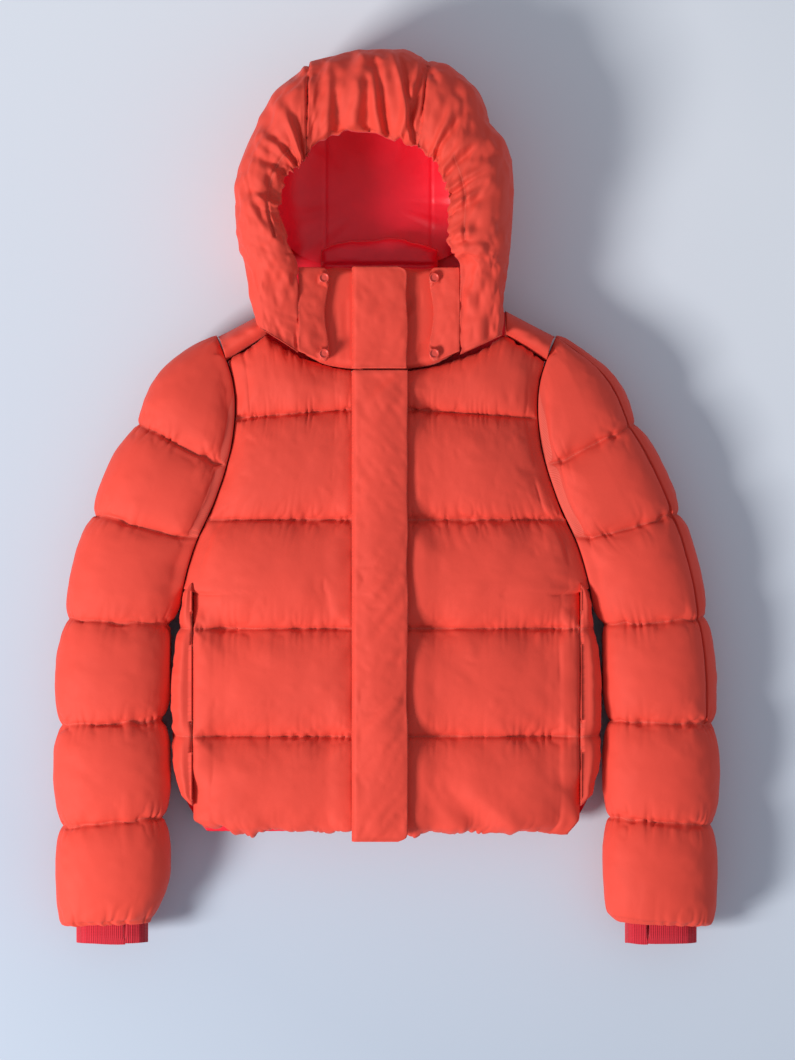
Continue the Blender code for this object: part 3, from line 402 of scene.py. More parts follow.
class Skin:
    """Grids gathered into one mesh, with a cloth UV map and a stitch distance."""

    def __init__(self, name: str) -> None:
        """Starts an empty mesh.

        Args:
            name: Name of the piece.
        """
        self.name = name
        self.points: list[Array] = []
        self.faces: list[Array] = []
        self.cloth: list[Array] = []
        self.stitch: list[Array] = []
        self.finish: list[Array] = []
        self.count = 0

    def add(
        self,
        grid: Array,
        finish: int = 0,
        closed: bool = False,
        flip: bool = False,
        stitch: Optional[Array] = None,
    ) -> "Skin":
        """Adds one grid. Its UV map is the mean length along each direction.

        Args:
            grid: Points, rows by columns by 3.
            finish: Number of the material.
            closed: Whether the last column joins the first.
            flip: Whether to turn the faces round.
            stitch: Distance from each point to the nearest stitch.

        Returns:
            The skin itself.
        """
        if stitch is None:
            stitch = np.full(grid.shape[:2], 0.05)
        if closed:
            grid = np.concatenate([grid, grid[:, :1]], axis=1)
            stitch = np.concatenate([stitch, stitch[:, :1]], axis=1)
        rows, cols = grid.shape[:2]
        across = np.linalg.norm(np.diff(grid, axis=1), axis=2).mean(0)
        down = np.linalg.norm(np.diff(grid, axis=0), axis=2).mean(1)
        u = np.concatenate([[0.0], np.cumsum(across)])
        v = np.concatenate([[0.0], np.cumsum(down)])
        faces = quads(rows, cols) + self.count
        self.points.append(grid.reshape(-1, 3))
        self.faces.append(faces[:, ::-1] if flip else faces)
        self.cloth.append(np.stack(np.meshgrid(u, v), axis=-1).reshape(-1, 2))
        self.stitch.append(stitch.reshape(-1))
        self.finish.append(np.full(len(faces), finish))
        self.count += rows * cols
        return self

    def build(
        self, *finishes: bpy.types.Material, weld: float = 1e-5, outward: bool = True
    ) -> bpy.types.Object:
        """Makes the object, with the points that coincide joined.

        Args:
            finishes: Materials, by number.
            weld: Points closer than this become one.
            outward: Whether to recalculate the normals outwards.

        Returns:
            The new object, at the origin.
        """
        points, faces = np.concatenate(self.points), np.concatenate(self.faces)
        mesh = bpy.data.meshes.new(self.name)
        mesh.vertices.add(len(points))
        mesh.vertices.foreach_set("co", points.astype(np.float32).ravel())
        mesh.loops.add(faces.size)
        mesh.loops.foreach_set("vertex_index", faces.astype(np.int32).ravel())
        mesh.polygons.add(len(faces))
        mesh.polygons.foreach_set("loop_start", np.arange(0, faces.size, 4, dtype=np.int32))
        mesh.polygons.foreach_set("material_index", np.concatenate(self.finish).astype(np.int32))
        mesh.update(calc_edges=True)
        uv = np.concatenate(self.cloth)[faces.ravel()]
        mesh.uv_layers.new(name="cloth").data.foreach_set("uv", uv.astype(np.float32).ravel())
        gap = mesh.attributes.new("stitch", "FLOAT", "POINT")
        gap.data.foreach_set("value", np.concatenate(self.stitch).astype(np.float32))
        work = bmesh.new()
        work.from_mesh(mesh)
        bmesh.ops.remove_doubles(work, verts=work.verts, dist=weld)
        bmesh.ops.dissolve_degenerate(work, edges=work.edges, dist=1e-7)
        if outward:
            bmesh.ops.recalc_face_normals(work, faces=work.faces)
        work.to_mesh(mesh)
        work.free()
        mesh.polygons.foreach_set("use_smooth", np.ones(len(mesh.polygons), bool))
        for finish in finishes:
            mesh.materials.append(finish)
        made = bpy.data.objects.new(self.name, mesh)
        bpy.context.scene.collection.objects.link(made)
        log.info("%s: %d points, %d faces", self.name, len(mesh.vertices), len(mesh.polygons))
        return made


def fitted(
    piece: bpy.types.Object, body: str = "", replaced: Sequence[str] = ()
) -> bpy.types.Object:
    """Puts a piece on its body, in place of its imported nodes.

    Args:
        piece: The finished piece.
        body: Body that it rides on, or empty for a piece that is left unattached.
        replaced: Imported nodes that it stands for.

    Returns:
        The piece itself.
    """
    if body:
        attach(piece, body)
    if replaced:
        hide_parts(*replaced)
    return piece


# --- Finishes -----------------------------------------------------------------------------


class Graph:
    """A material's nodes, added and joined in short calls."""

    def __init__(self, name: str) -> None:
        """Starts a material with one Principled shader.

        Args:
            name: Name of the material.
        """
        self.material = bpy.data.materials.new(name)
        self.material.use_nodes = True
        self.tree = self.material.node_tree
        self.shader = self.tree.nodes["Principled BSDF"]

    def add(self, kind: str, **settings: object) -> bpy.types.Node:
        """Adds a node and sets its properties and its inputs by name.

        Args:
            kind: Blender's name of the node, without ShaderNode.
            settings: Properties; a name that starts with in_ is an input.

        Returns:
            The node.
        """
        node = self.tree.nodes.new("ShaderNode" + kind)
        for key, value in settings.items():
            if key.startswith("in_"):
                name = key[3:]
                socket = node.inputs[int(name) if name.isdigit() else name]
                if isinstance(value, bpy.types.NodeSocket):
                    self.tree.links.new(value, socket)
                else:
                    socket.default_value = value
            else:
                setattr(node, key, value)
        return node

    def math(self, operation: str, first: object, second: object = 0.0) -> bpy.types.NodeSocket:
        """Adds a Math node on two numbers or sockets.

        Args:
            operation: Blender's name of the operation.
            first: First number or socket.
            second: Second number or socket.

        Returns:
            The result's socket.
        """
        return self.add("Math", operation=operation, in_0=first, in_1=second).outputs[0]

    def set(self, **inputs: object) -> None:
        """Sets or links the shader's inputs, with spaces written as underscores."""
        for key, value in inputs.items():
            socket = self.shader.inputs[key.replace("_", " ")]
            if isinstance(value, bpy.types.NodeSocket):
                self.tree.links.new(value, socket)
            else:
                socket.default_value = value

    def place(self) -> bpy.types.NodeSocket:
        """Object coordinates."""
        return self.add("TexCoord").outputs["Object"]

    def cloth(self) -> tuple[bpy.types.NodeSocket, bpy.types.NodeSocket]:
        """The two lengths of the cloth UV map, in metres."""
        uv = self.add("UVMap", uv_map="cloth").outputs["UV"]
        parts = self.add("SeparateXYZ", in_0=uv).outputs
        return parts[0], parts[1]

    def stitch(self) -> bpy.types.NodeSocket:
        """Distance to the nearest stitch, in metres."""
        return self.add("Attribute", attribute_name="stitch").outputs["Fac"]

    def noise(self, scale: float, detail: float = 3.0, rough: float = 0.55) -> bpy.types.NodeSocket:
        """Adds noise on object coordinates.

        Args:
            scale: Patches for each metre.
            detail: Number of finer layers.
            rough: Share that each finer layer keeps.

        Returns:
            The noise's socket, from 0 to 1.
        """
        node = self.add(
            "TexNoise", in_Vector=self.place(), in_Scale=scale, in_Detail=detail, in_Roughness=rough
        )
        return node.outputs["Fac"]

    def weave(self, warp: float, weft: float) -> bpy.types.NodeSocket:
        """Adds a plain weave: the product of two sines, one along each thread.

        Args:
            warp: Spacing of the threads across, in metres.
            weft: Spacing of the threads along, in metres.

        Returns:
            The weave's socket, from -1 to 1.
        """
        u, v = self.cloth()
        one = self.math("SINE", self.math("MULTIPLY", u, 2 * math.pi / warp))
        two = self.math("SINE", self.math("MULTIPLY", v, 2 * math.pi / weft))
        return self.math("MULTIPLY", one, two)

    def ramp(self, factor: bpy.types.NodeSocket, *stops: tuple) -> bpy.types.NodeSocket:
        """Adds a colour ramp.

        Args:
            factor: Socket that picks the place on the ramp.
            stops: (place, colour) pairs.

        Returns:
            The colour's socket.
        """
        node = self.add("ValToRGB", in_Fac=factor)
        elements = node.color_ramp.elements
        while len(elements) < len(stops):
            elements.new(0.5)
        for element, (position, colour) in zip(elements, stops):
            element.position = position
            element.color = (*colour, 1.0)
        return node.outputs["Color"]

    def mix(self, factor: object, first: object, second: object) -> bpy.types.NodeSocket:
        """Mixes two colours.

        Args:
            factor: Share of the second, a number or a socket.
            first: First colour or socket.
            second: Second colour or socket.

        Returns:
            The colour's socket.
        """
        node = self.add("Mix", data_type="RGBA")
        for index, value in ((0, factor), (6, first), (7, second)):
            if isinstance(value, bpy.types.NodeSocket):
                self.tree.links.new(value, node.inputs[index])
            else:
                node.inputs[index].default_value = value
        return node.outputs[2]

    def bump(self, *layers: tuple) -> bpy.types.NodeSocket:
        """Chain of Bump nodes through (height, strength, distance) layers."""
        normal = None
        for height, strength, distance in layers:
            node = self.add("Bump", in_Height=height, in_Strength=strength, in_Distance=distance)
            if normal is not None:
                self.tree.links.new(normal, node.inputs["Normal"])
            normal = node.outputs["Normal"]
        return normal


Colour = tuple[float, float, float]


def shade(colour: Colour, by: float) -> Colour:
    """Makes a colour lighter or darker.

    Args:
        colour: The colour to change.
        by: Number that it is multiplied by.

    Returns:
        The changed colour.
    """
    return tuple(min(1.0, c * by) for c in colour)


@dataclass(frozen=True)
class ShellCloth:
    """Matt woven shell, with fine crinkles and sewn threads."""

    colour: Colour = (0.80, 0.067, 0.041)
    roughness: float = 0.70
    sheen: float = 0.12

    def material(self) -> bpy.types.Material:
        """Builds the nodes: mottled colour, weave, crinkle, painted shade along the stitch lines, and
        stitches lightened as a painted highlight.
        """
        g = Graph("shell_cloth")
        patch = g.noise(9.0, 4.0)
        colour = g.ramp(
            patch, (0.30, shade(self.colour, 0.93)), (0.52, self.colour), (0.75, shade(self.colour, 1.05))
        )
        weave = g.weave(0.0011, 0.0009)
        thread = g.math("ADD", g.math("MULTIPLY", weave, 0.5), 0.5)
        colour = g.mix(g.math("MULTIPLY", thread, 0.10), colour, (*shade(self.colour, 0.80), 1.0))
        u, v = g.cloth()
        gap = g.stitch()
        # painted shade: the shell's colour darkens towards each stitch line, where shade falls in the seam's
        # valley
        crease = g.math("SUBTRACT", 1.0, g.math("MULTIPLY", gap, 180.0))
        crease = g.add("Clamp", in_Value=crease).outputs[0]
        colour = g.mix(g.math("MULTIPLY", crease, 0.40), colour, (*shade(self.colour, 0.62), 1.0))
        line = g.math("SUBTRACT", 1.0, g.math("MULTIPLY", gap, 1400.0))
        line = g.add("Clamp", in_Value=line).outputs[0]
        dash = g.math("SINE", g.math("MULTIPLY", g.math("ADD", u, v), 2 * math.pi / 0.0030))
        dash = g.math("ADD", g.math("MULTIPLY", dash, 0.35), 0.65)
        sewn = g.math("MULTIPLY", line, dash)
        # stitches: the thread's dashes, drawn lighter in colour as a painted highlight along the seam line
        colour = g.mix(g.math("MULTIPLY", sewn, 0.35), colour, (1.0, 0.22, 0.16, 1.0))
        rough = g.math("ADD", g.math("MULTIPLY", g.noise(60.0), 0.12), self.roughness - 0.06)
        g.set(
            Base_Color=colour,
            Roughness=rough,
            Sheen_Weight=self.sheen,
            Sheen_Roughness=0.45,
            Sheen_Tint=(1.0, 0.55, 0.48, 1.0),
            Specular_IOR_Level=0.28,
            Normal=g.bump(
                (g.noise(140.0, 4.0), 0.22, 0.0008),
                (weave, 0.18, 0.00012),
                (sewn, 0.5, 0.0004),
            ),
        )
        return g.material


@dataclass(frozen=True)
class LiningCloth:
    """Satin lining: smoother than the shell, with a soft shine."""

    colour: Colour = (0.98, 0.006, 0.030)
    roughness: float = 0.40

    def material(self) -> bpy.types.Material:
        """Builds the nodes: streaked colour, a fine twill and stitches."""
        g = Graph("lining_cloth")
        u, v = g.cloth()
        twill = g.math("SINE", g.math("MULTIPLY", g.math("ADD", u, v), 2 * math.pi / 0.0007))
        patch = g.noise(16.0, 5.0)
        colour = g.ramp(patch, (0.3, shade(self.colour, 0.85)), (0.7, shade(self.colour, 1.12)))
        colour = g.mix(g.math("ADD", g.math("MULTIPLY", twill, 0.04), 0.04), colour, (0.9, 0.06, 0.08, 1.0))
        line = g.math("SUBTRACT", 1.0, g.math("MULTIPLY", g.stitch(), 1400.0))
        line = g.add("Clamp", in_Value=line).outputs[0]
        g.set(
            Base_Color=colour,
            Roughness=self.roughness,
            Sheen_Weight=0.15,
            Specular_IOR_Level=0.5,
            Normal=g.bump((g.noise(90.0, 5.0), 0.25, 0.0010), (twill, 0.15, 0.0001), (line, 0.4, 0.0004)),
        )
        return g.material


@dataclass(frozen=True)
class CuffKnit:
    """Ribbed stretch knit."""

    colour: Colour = (0.72, 0.014, 0.035)
    rib: float = 0.0021

    def material(self) -> bpy.types.Material:
        """Builds the nodes: ribs along the cuff with loops across them, darker in their hollows as painted
        shade.
        """
        g = Graph("cuff_knit")
        u, v = g.cloth()
        rib = g.math("SINE", g.math("MULTIPLY", u, 2 * math.pi / self.rib))
        loop = g.math("SINE", g.math("MULTIPLY", v, 2 * math.pi / 0.0016))
        knit = g.math("ADD", rib, g.math("MULTIPLY", loop, 0.35))
        # painted shade: the knit is darker where its bump is low, between the ribs, and lighter on their tops
        deep = g.math("ADD", g.math("MULTIPLY", knit, 0.30), 0.45)
        colour = g.mix(deep, (*shade(self.colour, 0.62), 1.0), (*shade(self.colour, 1.15), 1.0))
        colour = g.mix(g.math("MULTIPLY", g.noise(30.0), 0.2), colour, (*shade(self.colour, 0.8), 1.0))
        g.set(
            Base_Color=colour,
            Roughness=0.85,
            Sheen_Weight=0.35,
            Sheen_Roughness=0.4,
            Normal=g.bump((knit, 0.6, 0.0005), (g.noise(400.0), 0.2, 0.0003)),
        )
        return g.material


@dataclass(frozen=True)
class ZipTape:
    """Herringbone tape that carries the teeth."""

    colour: Colour = (0.55, 0.018, 0.020)

    def material(self) -> bpy.types.Material:
        """Builds the nodes: slanted threads that turn back every few millimetres, darker in their hollows as
        painted shade.
        """
        g = Graph("zip_tape")
        place = g.add("SeparateXYZ", in_0=g.place()).outputs
        fold = g.math("PINGPONG", place[0], 0.0016)
        slant = g.math("SINE", g.math("MULTIPLY", g.math("ADD", fold, place[1]), 2 * math.pi / 0.0011))
        # painted shade: the tape is darker where the thread's bump is low and lighter where it is high
        deep = g.math("ADD", g.math("MULTIPLY", slant, 0.25), 0.5)
        colour = g.mix(deep, (*shade(self.colour, 0.7), 1.0), (*shade(self.colour, 1.15), 1.0))
        g.set(
            Base_Color=colour,
            Roughness=0.75,
            Sheen_Weight=0.2,
            Normal=g.bump((slant, 0.5, 0.0003), (g.noise(300.0), 0.15, 0.0003)),
        )
        return g.material


@dataclass(frozen=True)
class PaintedMetal:
    """Metal or moulded part with a thin matt paint, lighter on its edges as a painted highlight."""

    name: str
    colour: Colour
    roughness: float = 0.36
    metallic: float = 0.35

    def material(self) -> bpy.types.Material:
        """Builds the nodes: orange peel, specks and a painted highlight where the surface turns."""
        g = Graph(self.name)
        speck = g.noise(900.0, 2.0)
        edge = g.add("NewGeometry").outputs["Pointiness"]
        # painted highlight: the colour is lighter where the surface turns sharply, on the edges
        edge_highlight = g.add("Clamp", in_Value=g.math("MULTIPLY", g.math("SUBTRACT", edge, 0.54), 6.0)).outputs[0]
        colour = g.ramp(speck, (0.35, shade(self.colour, 0.88)), (0.65, shade(self.colour, 1.06)))
        colour = g.mix(g.math("MULTIPLY", edge_highlight, 0.35), colour, (*shade(self.colour, 1.7), 1.0))
        rough = g.math("ADD", g.math("MULTIPLY", g.noise(300.0), 0.16), self.roughness - 0.08)
        g.set(
            Base_Color=colour,
            Roughness=rough,
            Metallic=self.metallic,
            Coat_Weight=0.25,
            Coat_Roughness=0.25,
            Normal=g.bump((speck, 0.12, 0.0002)),
        )
        return g.material


class Wardrobe:
    """Every finish of the jacket, built once."""

    def __init__(self) -> None:
        """Builds the materials."""
        self.shell = ShellCloth().material()
        self.lining = LiningCloth().material()
        self.knit = CuffKnit().material()
        self.tape = ZipTape().material()
        self.metal = PaintedMetal("zip_hardware", (0.50, 0.020, 0.020)).material()
        self.snap = PaintedMetal("snap_cap", (0.78, 0.075, 0.050), 0.42, 0.1).material()


# --- Layout -------------------------------------------------------------------------------

CELL = 0.0034  # spacing of a padded cloth's points

# (level, half width) of the body, from the hem to the shoulder tip
FLANK = np.array(
    [
        (-0.352, 0.1900), (-0.335, 0.2040), (-0.290, 0.2220), (-0.210, 0.2265), (-0.130, 0.2190),
        (-0.050, 0.2000), (0.000, 0.1780), (0.060, 0.1610), (0.120, 0.1600), (0.170, 0.1770),
    ]
)
QUILT_LEVELS = (-0.249, -0.1365, -0.023)  # straight stitch lines of the body
CHEST_TOP = 0.0885  # level from which the body leans in to the shoulders


def half_width(y: Array) -> Array:
    """Half width of the body at a level.

    Args:
        y: Levels up the body.

    Returns:
        The half width at each level.
    """
    return curve_at(FLANK[:, 0], FLANK[:, 1], y)


def levels_through(stops: Sequence[float], cell: float) -> tuple[Array, list[int]]:
    """Evenly spaced places through stops, and the index of each stop.

    Args:
        stops: Places that must be met, in order.
        cell: Spacing between them.

    Returns:
        The places, and where each stop is among them.
    """
    spans = [max(2, round(abs(b - a) / cell)) for a, b in zip(stops, stops[1:])]
    pieces = [np.linspace(a, b, n, endpoint=False) for a, b, n in zip(stops, stops[1:], spans)]
    marks = [0, *np.cumsum(spans).tolist()]
    return np.concatenate([*pieces, [stops[-1]]]), marks


def refined(
    top: Array, pinned: Array, breaks: Sequence[int] = (), columns: Sequence[int] = (), closed: bool = False
) -> tuple[Array, Array]:
    """Doubles a swollen cloth's rows and columns.

    Args:
        top: Swollen points.
        pinned: Where they are stitched.
        breaks: Rows that stay creased.
        columns: Columns that stay creased.
        closed: Whether the last column joins the first.

    Returns:
        The finer points, and their distance to the nearest stitch.
    """
    gap = distance_to(top, top[pinned])
    fine = doubled(doubled(top, 0, breaks), 1, columns, closed)
    gap = doubled(doubled(gap, 0, breaks), 1, columns, closed)
    return fine, np.maximum(gap, 0.0)


def pad_of(
    name: str, top: Array, gap: Array, z: float, finish: int = 0, tuck: Optional[Array] = None
) -> Skin:
    """Closed pad: a swollen top, and a level underside on the same border.

    Args:
        name: Name of the piece.
        top: Finished points of the top.
        gap: Distance from each to the nearest stitch.
        z: Level of the underside.
        finish: Material number of the underside.
        tuck: Plan of the underside where it differs from the top's.

    Returns:
        The skin, ready to build.
    """
    under = top.copy()
    if tuck is not None:
        under[..., 0] = tuck
    under[..., 2] = z
    for edge in (np.s_[0], np.s_[-1], np.s_[:, 0], np.s_[:, -1]):
        under[edge] = top[edge]
    return Skin(name).add(top, stitch=gap).add(under, finish=finish, flip=True)


@dataclass
class FrontPanel:
    """One padded front, from the zip to the side seam and the armhole."""

    side: Side
    wardrobe: Wardrobe
    seam_z: float = 0.0690
    edge_z: float = 0.0625
    flap_z: float = 0.0800
    top_quilt: tuple[float, float] = (0.0935, 0.0830)
    neck_y: float = 0.1325
    yoke_inner: float = 0.1707
    yoke_outer: float = 0.1437
    neck_half: float = 0.125

    def outline(self) -> None:
        """Reads the zip edge, the side seam and the levels from the frame."""
        low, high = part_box(f"{self.side.label}_front_panel")
        self.inner = high.x if self.side is Side.LEFT else low.x
        self.outer = abs(low.x if self.side is Side.LEFT else high.x)
        self.hem, self.under_z = low.y, low.z

    def plan(self) -> tuple[Array, list[int]]:
        """Plan of the panel's points and the rows that are stitched.

        Below the last straight stitch line the rows are level. Above it they
        ease into the slanted line, and then into the neck and the yoke seam.

        Returns:
            Points with no height yet, and the numbers of the stitched rows.
        """
        sign = self.side.value
        levels, marks = levels_through((self.hem, *QUILT_LEVELS, CHEST_TOP), CELL)
        top_rows = round(0.060 / CELL)
        columns = round((self.outer - abs(self.inner)) / CELL)
        share = np.linspace(0.0, 1.0, columns + 1)
        slant = self.top_quilt[0] + (self.top_quilt[1] - self.top_quilt[0]) * share
        lean = smooth(QUILT_LEVELS[-1], CHEST_TOP, levels)[:, None]
        y = levels[:, None] + lean * (slant - CHEST_TOP)[None]
        rise = np.linspace(0.0, 1.0, top_rows + 1)[1:, None]
        reach = self.neck_half - abs(self.inner)
        out = np.clip(share * (self.outer_at(self.yoke_outer) - abs(self.inner)) / reach, 0, 1)
        neck = self.neck_y + (self.yoke_inner - self.neck_y) * out**2
        far = share * (self.outer_at(self.yoke_outer) - abs(self.inner)) - reach
        fall = np.clip(far / (self.outer_at(self.yoke_outer) - self.neck_half), 0, 1)
        edge = neck - (self.yoke_inner - self.yoke_outer) * fall
        y = np.concatenate([y, slant + rise * (edge - slant)])
        outer = self.outer_at(y[:, -1])
        x = self.inner + sign * share[None] * (outer[:, None] - sign * self.inner)
        z = np.zeros_like(x)
        return np.stack([x, y, z], axis=-1), [*marks, len(y) - 1]

    def outer_at(self, y: Array) -> Array:
        """Distance of the outer edge from the middle.

        Args:
            y: Levels up the body.

        Returns:
            The distance at each level.
        """
        under_arm = smooth(-0.0985, -0.0955, y) * 0.0100
        return np.minimum(half_width(y) - 0.0004, self.outer - 0.0012 + under_arm)

    def build(self) -> bpy.types.Object:
        """Sews, swells and dresses the panel."""
        self.outline()
        sign = self.side.value
        seed = 11 + sign
        plan, marks = self.plan()
        rows, cols = plan.shape[:2]
        x, y = plan[..., 0], plan[..., 1]
        share = np.linspace(0.0, 1.0, cols)[None]
        base = self.seam_z - (self.seam_z - self.edge_z) * smooth(0.55, 1.0, share)
        pocket = smooth(-0.305, -0.280, y) * (1 - smooth(-0.140, -0.112, y))
        base = base + (0.0722 - base) * pocket * smooth(0.80, 1.0, share)
        base = base + 0.0025 * noise(x / 0.03, y / 0.05, seed) * (share < 0.9)
        base = base + (self.flap_z - base) * (1 - smooth(0.0, 0.24, share)) * 0.8
        hem_wave = 0.0042 * noise(x / 0.024, x * 0, seed + 3) + 0.0028 * noise(x / 0.010, x * 0, seed + 4)
        y = y + hem_wave * (1 - smooth(0.0, 0.02, y - self.hem))
        base = base - 0.004 * (1 - smooth(0.0, 0.012, y - self.hem))
        row = np.arange(rows)
        dome = np.zeros(rows)
        for low, high in zip(marks, marks[1:]):
            t = (row[low : high + 1] - low) / (high - low)
            dome[low : high + 1] = np.sqrt(np.clip(1 - (2 * t - 1) ** 2, 0, 1))
        sides = np.clip(np.minimum(share, 1 - share) / 0.16, 0, 1) ** 0.6
        start = np.stack([x, y, base + 0.010 * dome[:, None] * sides], axis=-1)
        pinned = np.zeros((rows, cols), bool)
        pinned[marks] = True
        pinned[:, [0, -1]] = True
        flap_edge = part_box("body_storm_flap")[0].x + 0.003
        creases = []
        if self.side is Side.LEFT:
            column = int(np.argmin(np.abs(x[0] - flap_edge)))
            pinned[:, column] = True
            start[:, column, 2] = np.minimum(start[:, column, 2], self.flap_z)
            creases = [column]
        slack = 0.16 * (1 - smooth(0.0, 0.05, y - self.hem)) + 0.05 * smooth(0.8, 1.0, share)
        if self.side is Side.LEFT:
            start = start[:, ::-1]
            pinned, slack = pinned[:, ::-1], slack[:, ::-1]
            creases = [cols - 1 - c for c in creases]
        loft = Loft(cap=0.021, spare=0.06, dome=0.35)
        top = swell(start, pinned, loft, seed, slack=slack)
        fine, gap = refined(top, pinned, marks, creases)
        stitched = [2 * m for m in marks]
        fine = puckered(fine, stitched, 0, seed + 5, depth=0.0046, reach=0.011, pitch=0.0060)
        x, y = fine[..., 0], fine[..., 1]
        fold = noise((x * sign + y) / 0.030, (x * sign - y) / 0.110, seed + 7)
        low_folds = np.exp(-np.maximum(y - self.hem, 0) / 0.045)
        fine[..., 2] += (0.0006 + 0.0050 * low_folds) * fold * smooth(0.0, 0.012, gap)
        beneath = (x > -0.030) & (x < 0.0245)
        fine[..., 2] = np.minimum(fine[..., 2], np.where(beneath, 0.0865, 0.0965))
        limit = half_width(y) - 0.0004
        fine[..., 0] = np.clip(x, -limit, limit)
        pocket = smooth(-0.296, -0.290, y) * (1 - smooth(-0.130, -0.124, y))
        edge = np.where(pocket > 0.5, 0.1958, 0.2026)
        tuck = np.clip(fine[..., 0], -edge, edge)
        skin = pad_of(f"{self.side.label}_front", fine, gap, self.under_z + 0.0002, 1, tuck)
        piece = skin.build(self.wardrobe.shell, self.wardrobe.lining)
        label = self.side.label
        return fitted(piece, "coat", [f"{label}_front_panel"])


@dataclass
class SidePanel:
    """The narrow padded strip between the front and the back."""

    side: Side
    wardrobe: Wardrobe

    def build(self) -> bpy.types.Object:
        """Builds the strip: an arc from the side seam out and down to the back.

        Each row is half an ellipse from the top seam to the bottom seam. Its
        reach is pinched at the stitch lines and ruffled by noise.

        Returns:
            The piece.
        """
        label, sign = self.side.label, self.side.value
        low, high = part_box(f"{label}_side_panel")
        inner = min(abs(low.x), abs(high.x))
        levels = levels_through((low.y, *QUILT_LEVELS[:2], high.y), 0.0022)[0]
        t = np.linspace(0.0, 1.0, 28)[None]
        y = levels[:, None] + 0 * t
        away = np.min(np.abs(levels[:, None] - np.array(QUILT_LEVELS[:2])), axis=1)
        pinch = np.exp(-away / 0.010)[:, None]
        reach = np.maximum(half_width(levels) - inner - 0.0008, 0.0008)[:, None]
        ruffle = 0.0016 * noise(y / 0.011, t * 3, 31 + sign) + 0.0010 * noise(y / 0.005, t * 6, 33 + sign)
        out = reach * np.sin(np.pi * t) ** 0.7 * (1 - 0.16 * pinch) + ruffle * np.sin(np.pi * t)
        out = np.minimum(out, reach)
        ends = np.clip(np.minimum(levels - low.y, high.y - levels) / 0.010, 0, 1)[:, None] ** 0.5
        top_z = 0.0722 + 0.006 * np.exp(-((t - 0.14) ** 2) / 0.010) * (1 - pinch * 0.7) * ends
        z = top_z * (1 - t) + (low.z + 0.0012) * t - 0.004 * pinch * np.sin(np.pi * t)
        z = z + 0.006 * np.sin(np.pi * t) * (1 - pinch) * ends
        lip = 0.0011 * np.exp(-t / 0.03)
        outside = np.stack([sign * (inner - lip + out * ends), y, z], axis=-1)
        inside = np.stack([sign * (inner - lip) + 0 * y, y, z], axis=-1)
        stitch = np.minimum(away[:, None] + 0 * t, t * 0.06)
        skin = Skin(f"{label}_side")
        skin.add(outside, flip=sign < 0, stitch=stitch).add(inside, flip=sign > 0)
        piece = skin.build(self.wardrobe.shell)
        return fitted(piece, "coat", [f"{label}_side_panel"])


@dataclass
class ShoulderYoke:
    """The strip along the shoulder that joins front and back."""

    side: Side
    wardrobe: Wardrobe
    neck_half: float = 0.125

    def build(self) -> bpy.types.Object:
        """Builds the strip: level at the yoke seam, rounding down to the back."""
        label, sign = self.side.label, self.side.value
        low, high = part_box(f"{label}_shoulder_yoke")
        share = np.linspace(0.0, 1.0, 40)[:, None]
        t = np.linspace(0.0, 1.0, 26)[None]
        x_low = self.neck_half + share * (float(half_width(0.144)) + 0.0006 - self.neck_half)
        x_high = self.neck_half + share * (0.1786 - self.neck_half)
        y_low, y_high = 0.1712 - 0.0270 * share, 0.1968 - 0.0268 * share
        x = x_low + (x_high - x_low) * t
        y = y_low + (y_high - y_low) * np.sin(t * np.pi / 2) ** 0.85
        z = 0.0680 + 0.0150 * np.sin(np.pi * t**0.6) ** 0.8 - 0.0350 * t**2.4
        z = z - 0.008 * share + 0.0016 * noise(x / 0.010, y / 0.007, 41 + sign) * np.sin(np.pi * t)
        top = np.stack([sign * x, y + 0 * share, np.minimum(z, high.z)], axis=-1)
        under = top.copy()
        under[..., 2] = low.z
        skin = Skin(f"{label}_yoke")
        stitch = np.minimum(t * 0.03, (1 - t) * 0.03) + 0 * share
        skin.add(top, stitch=stitch).add(under, flip=True)
        wall = lambda k: np.stack([top[k], under[k]])
        skin.add(wall(np.s_[0]), flip=True).add(wall(np.s_[-1]))
        skin.add(wall(np.s_[:, 0])).add(wall(np.s_[:, -1]), flip=True)
        piece = skin.build(self.wardrobe.shell)
        return fitted(piece, "coat", [f"{label}_shoulder_yoke"])


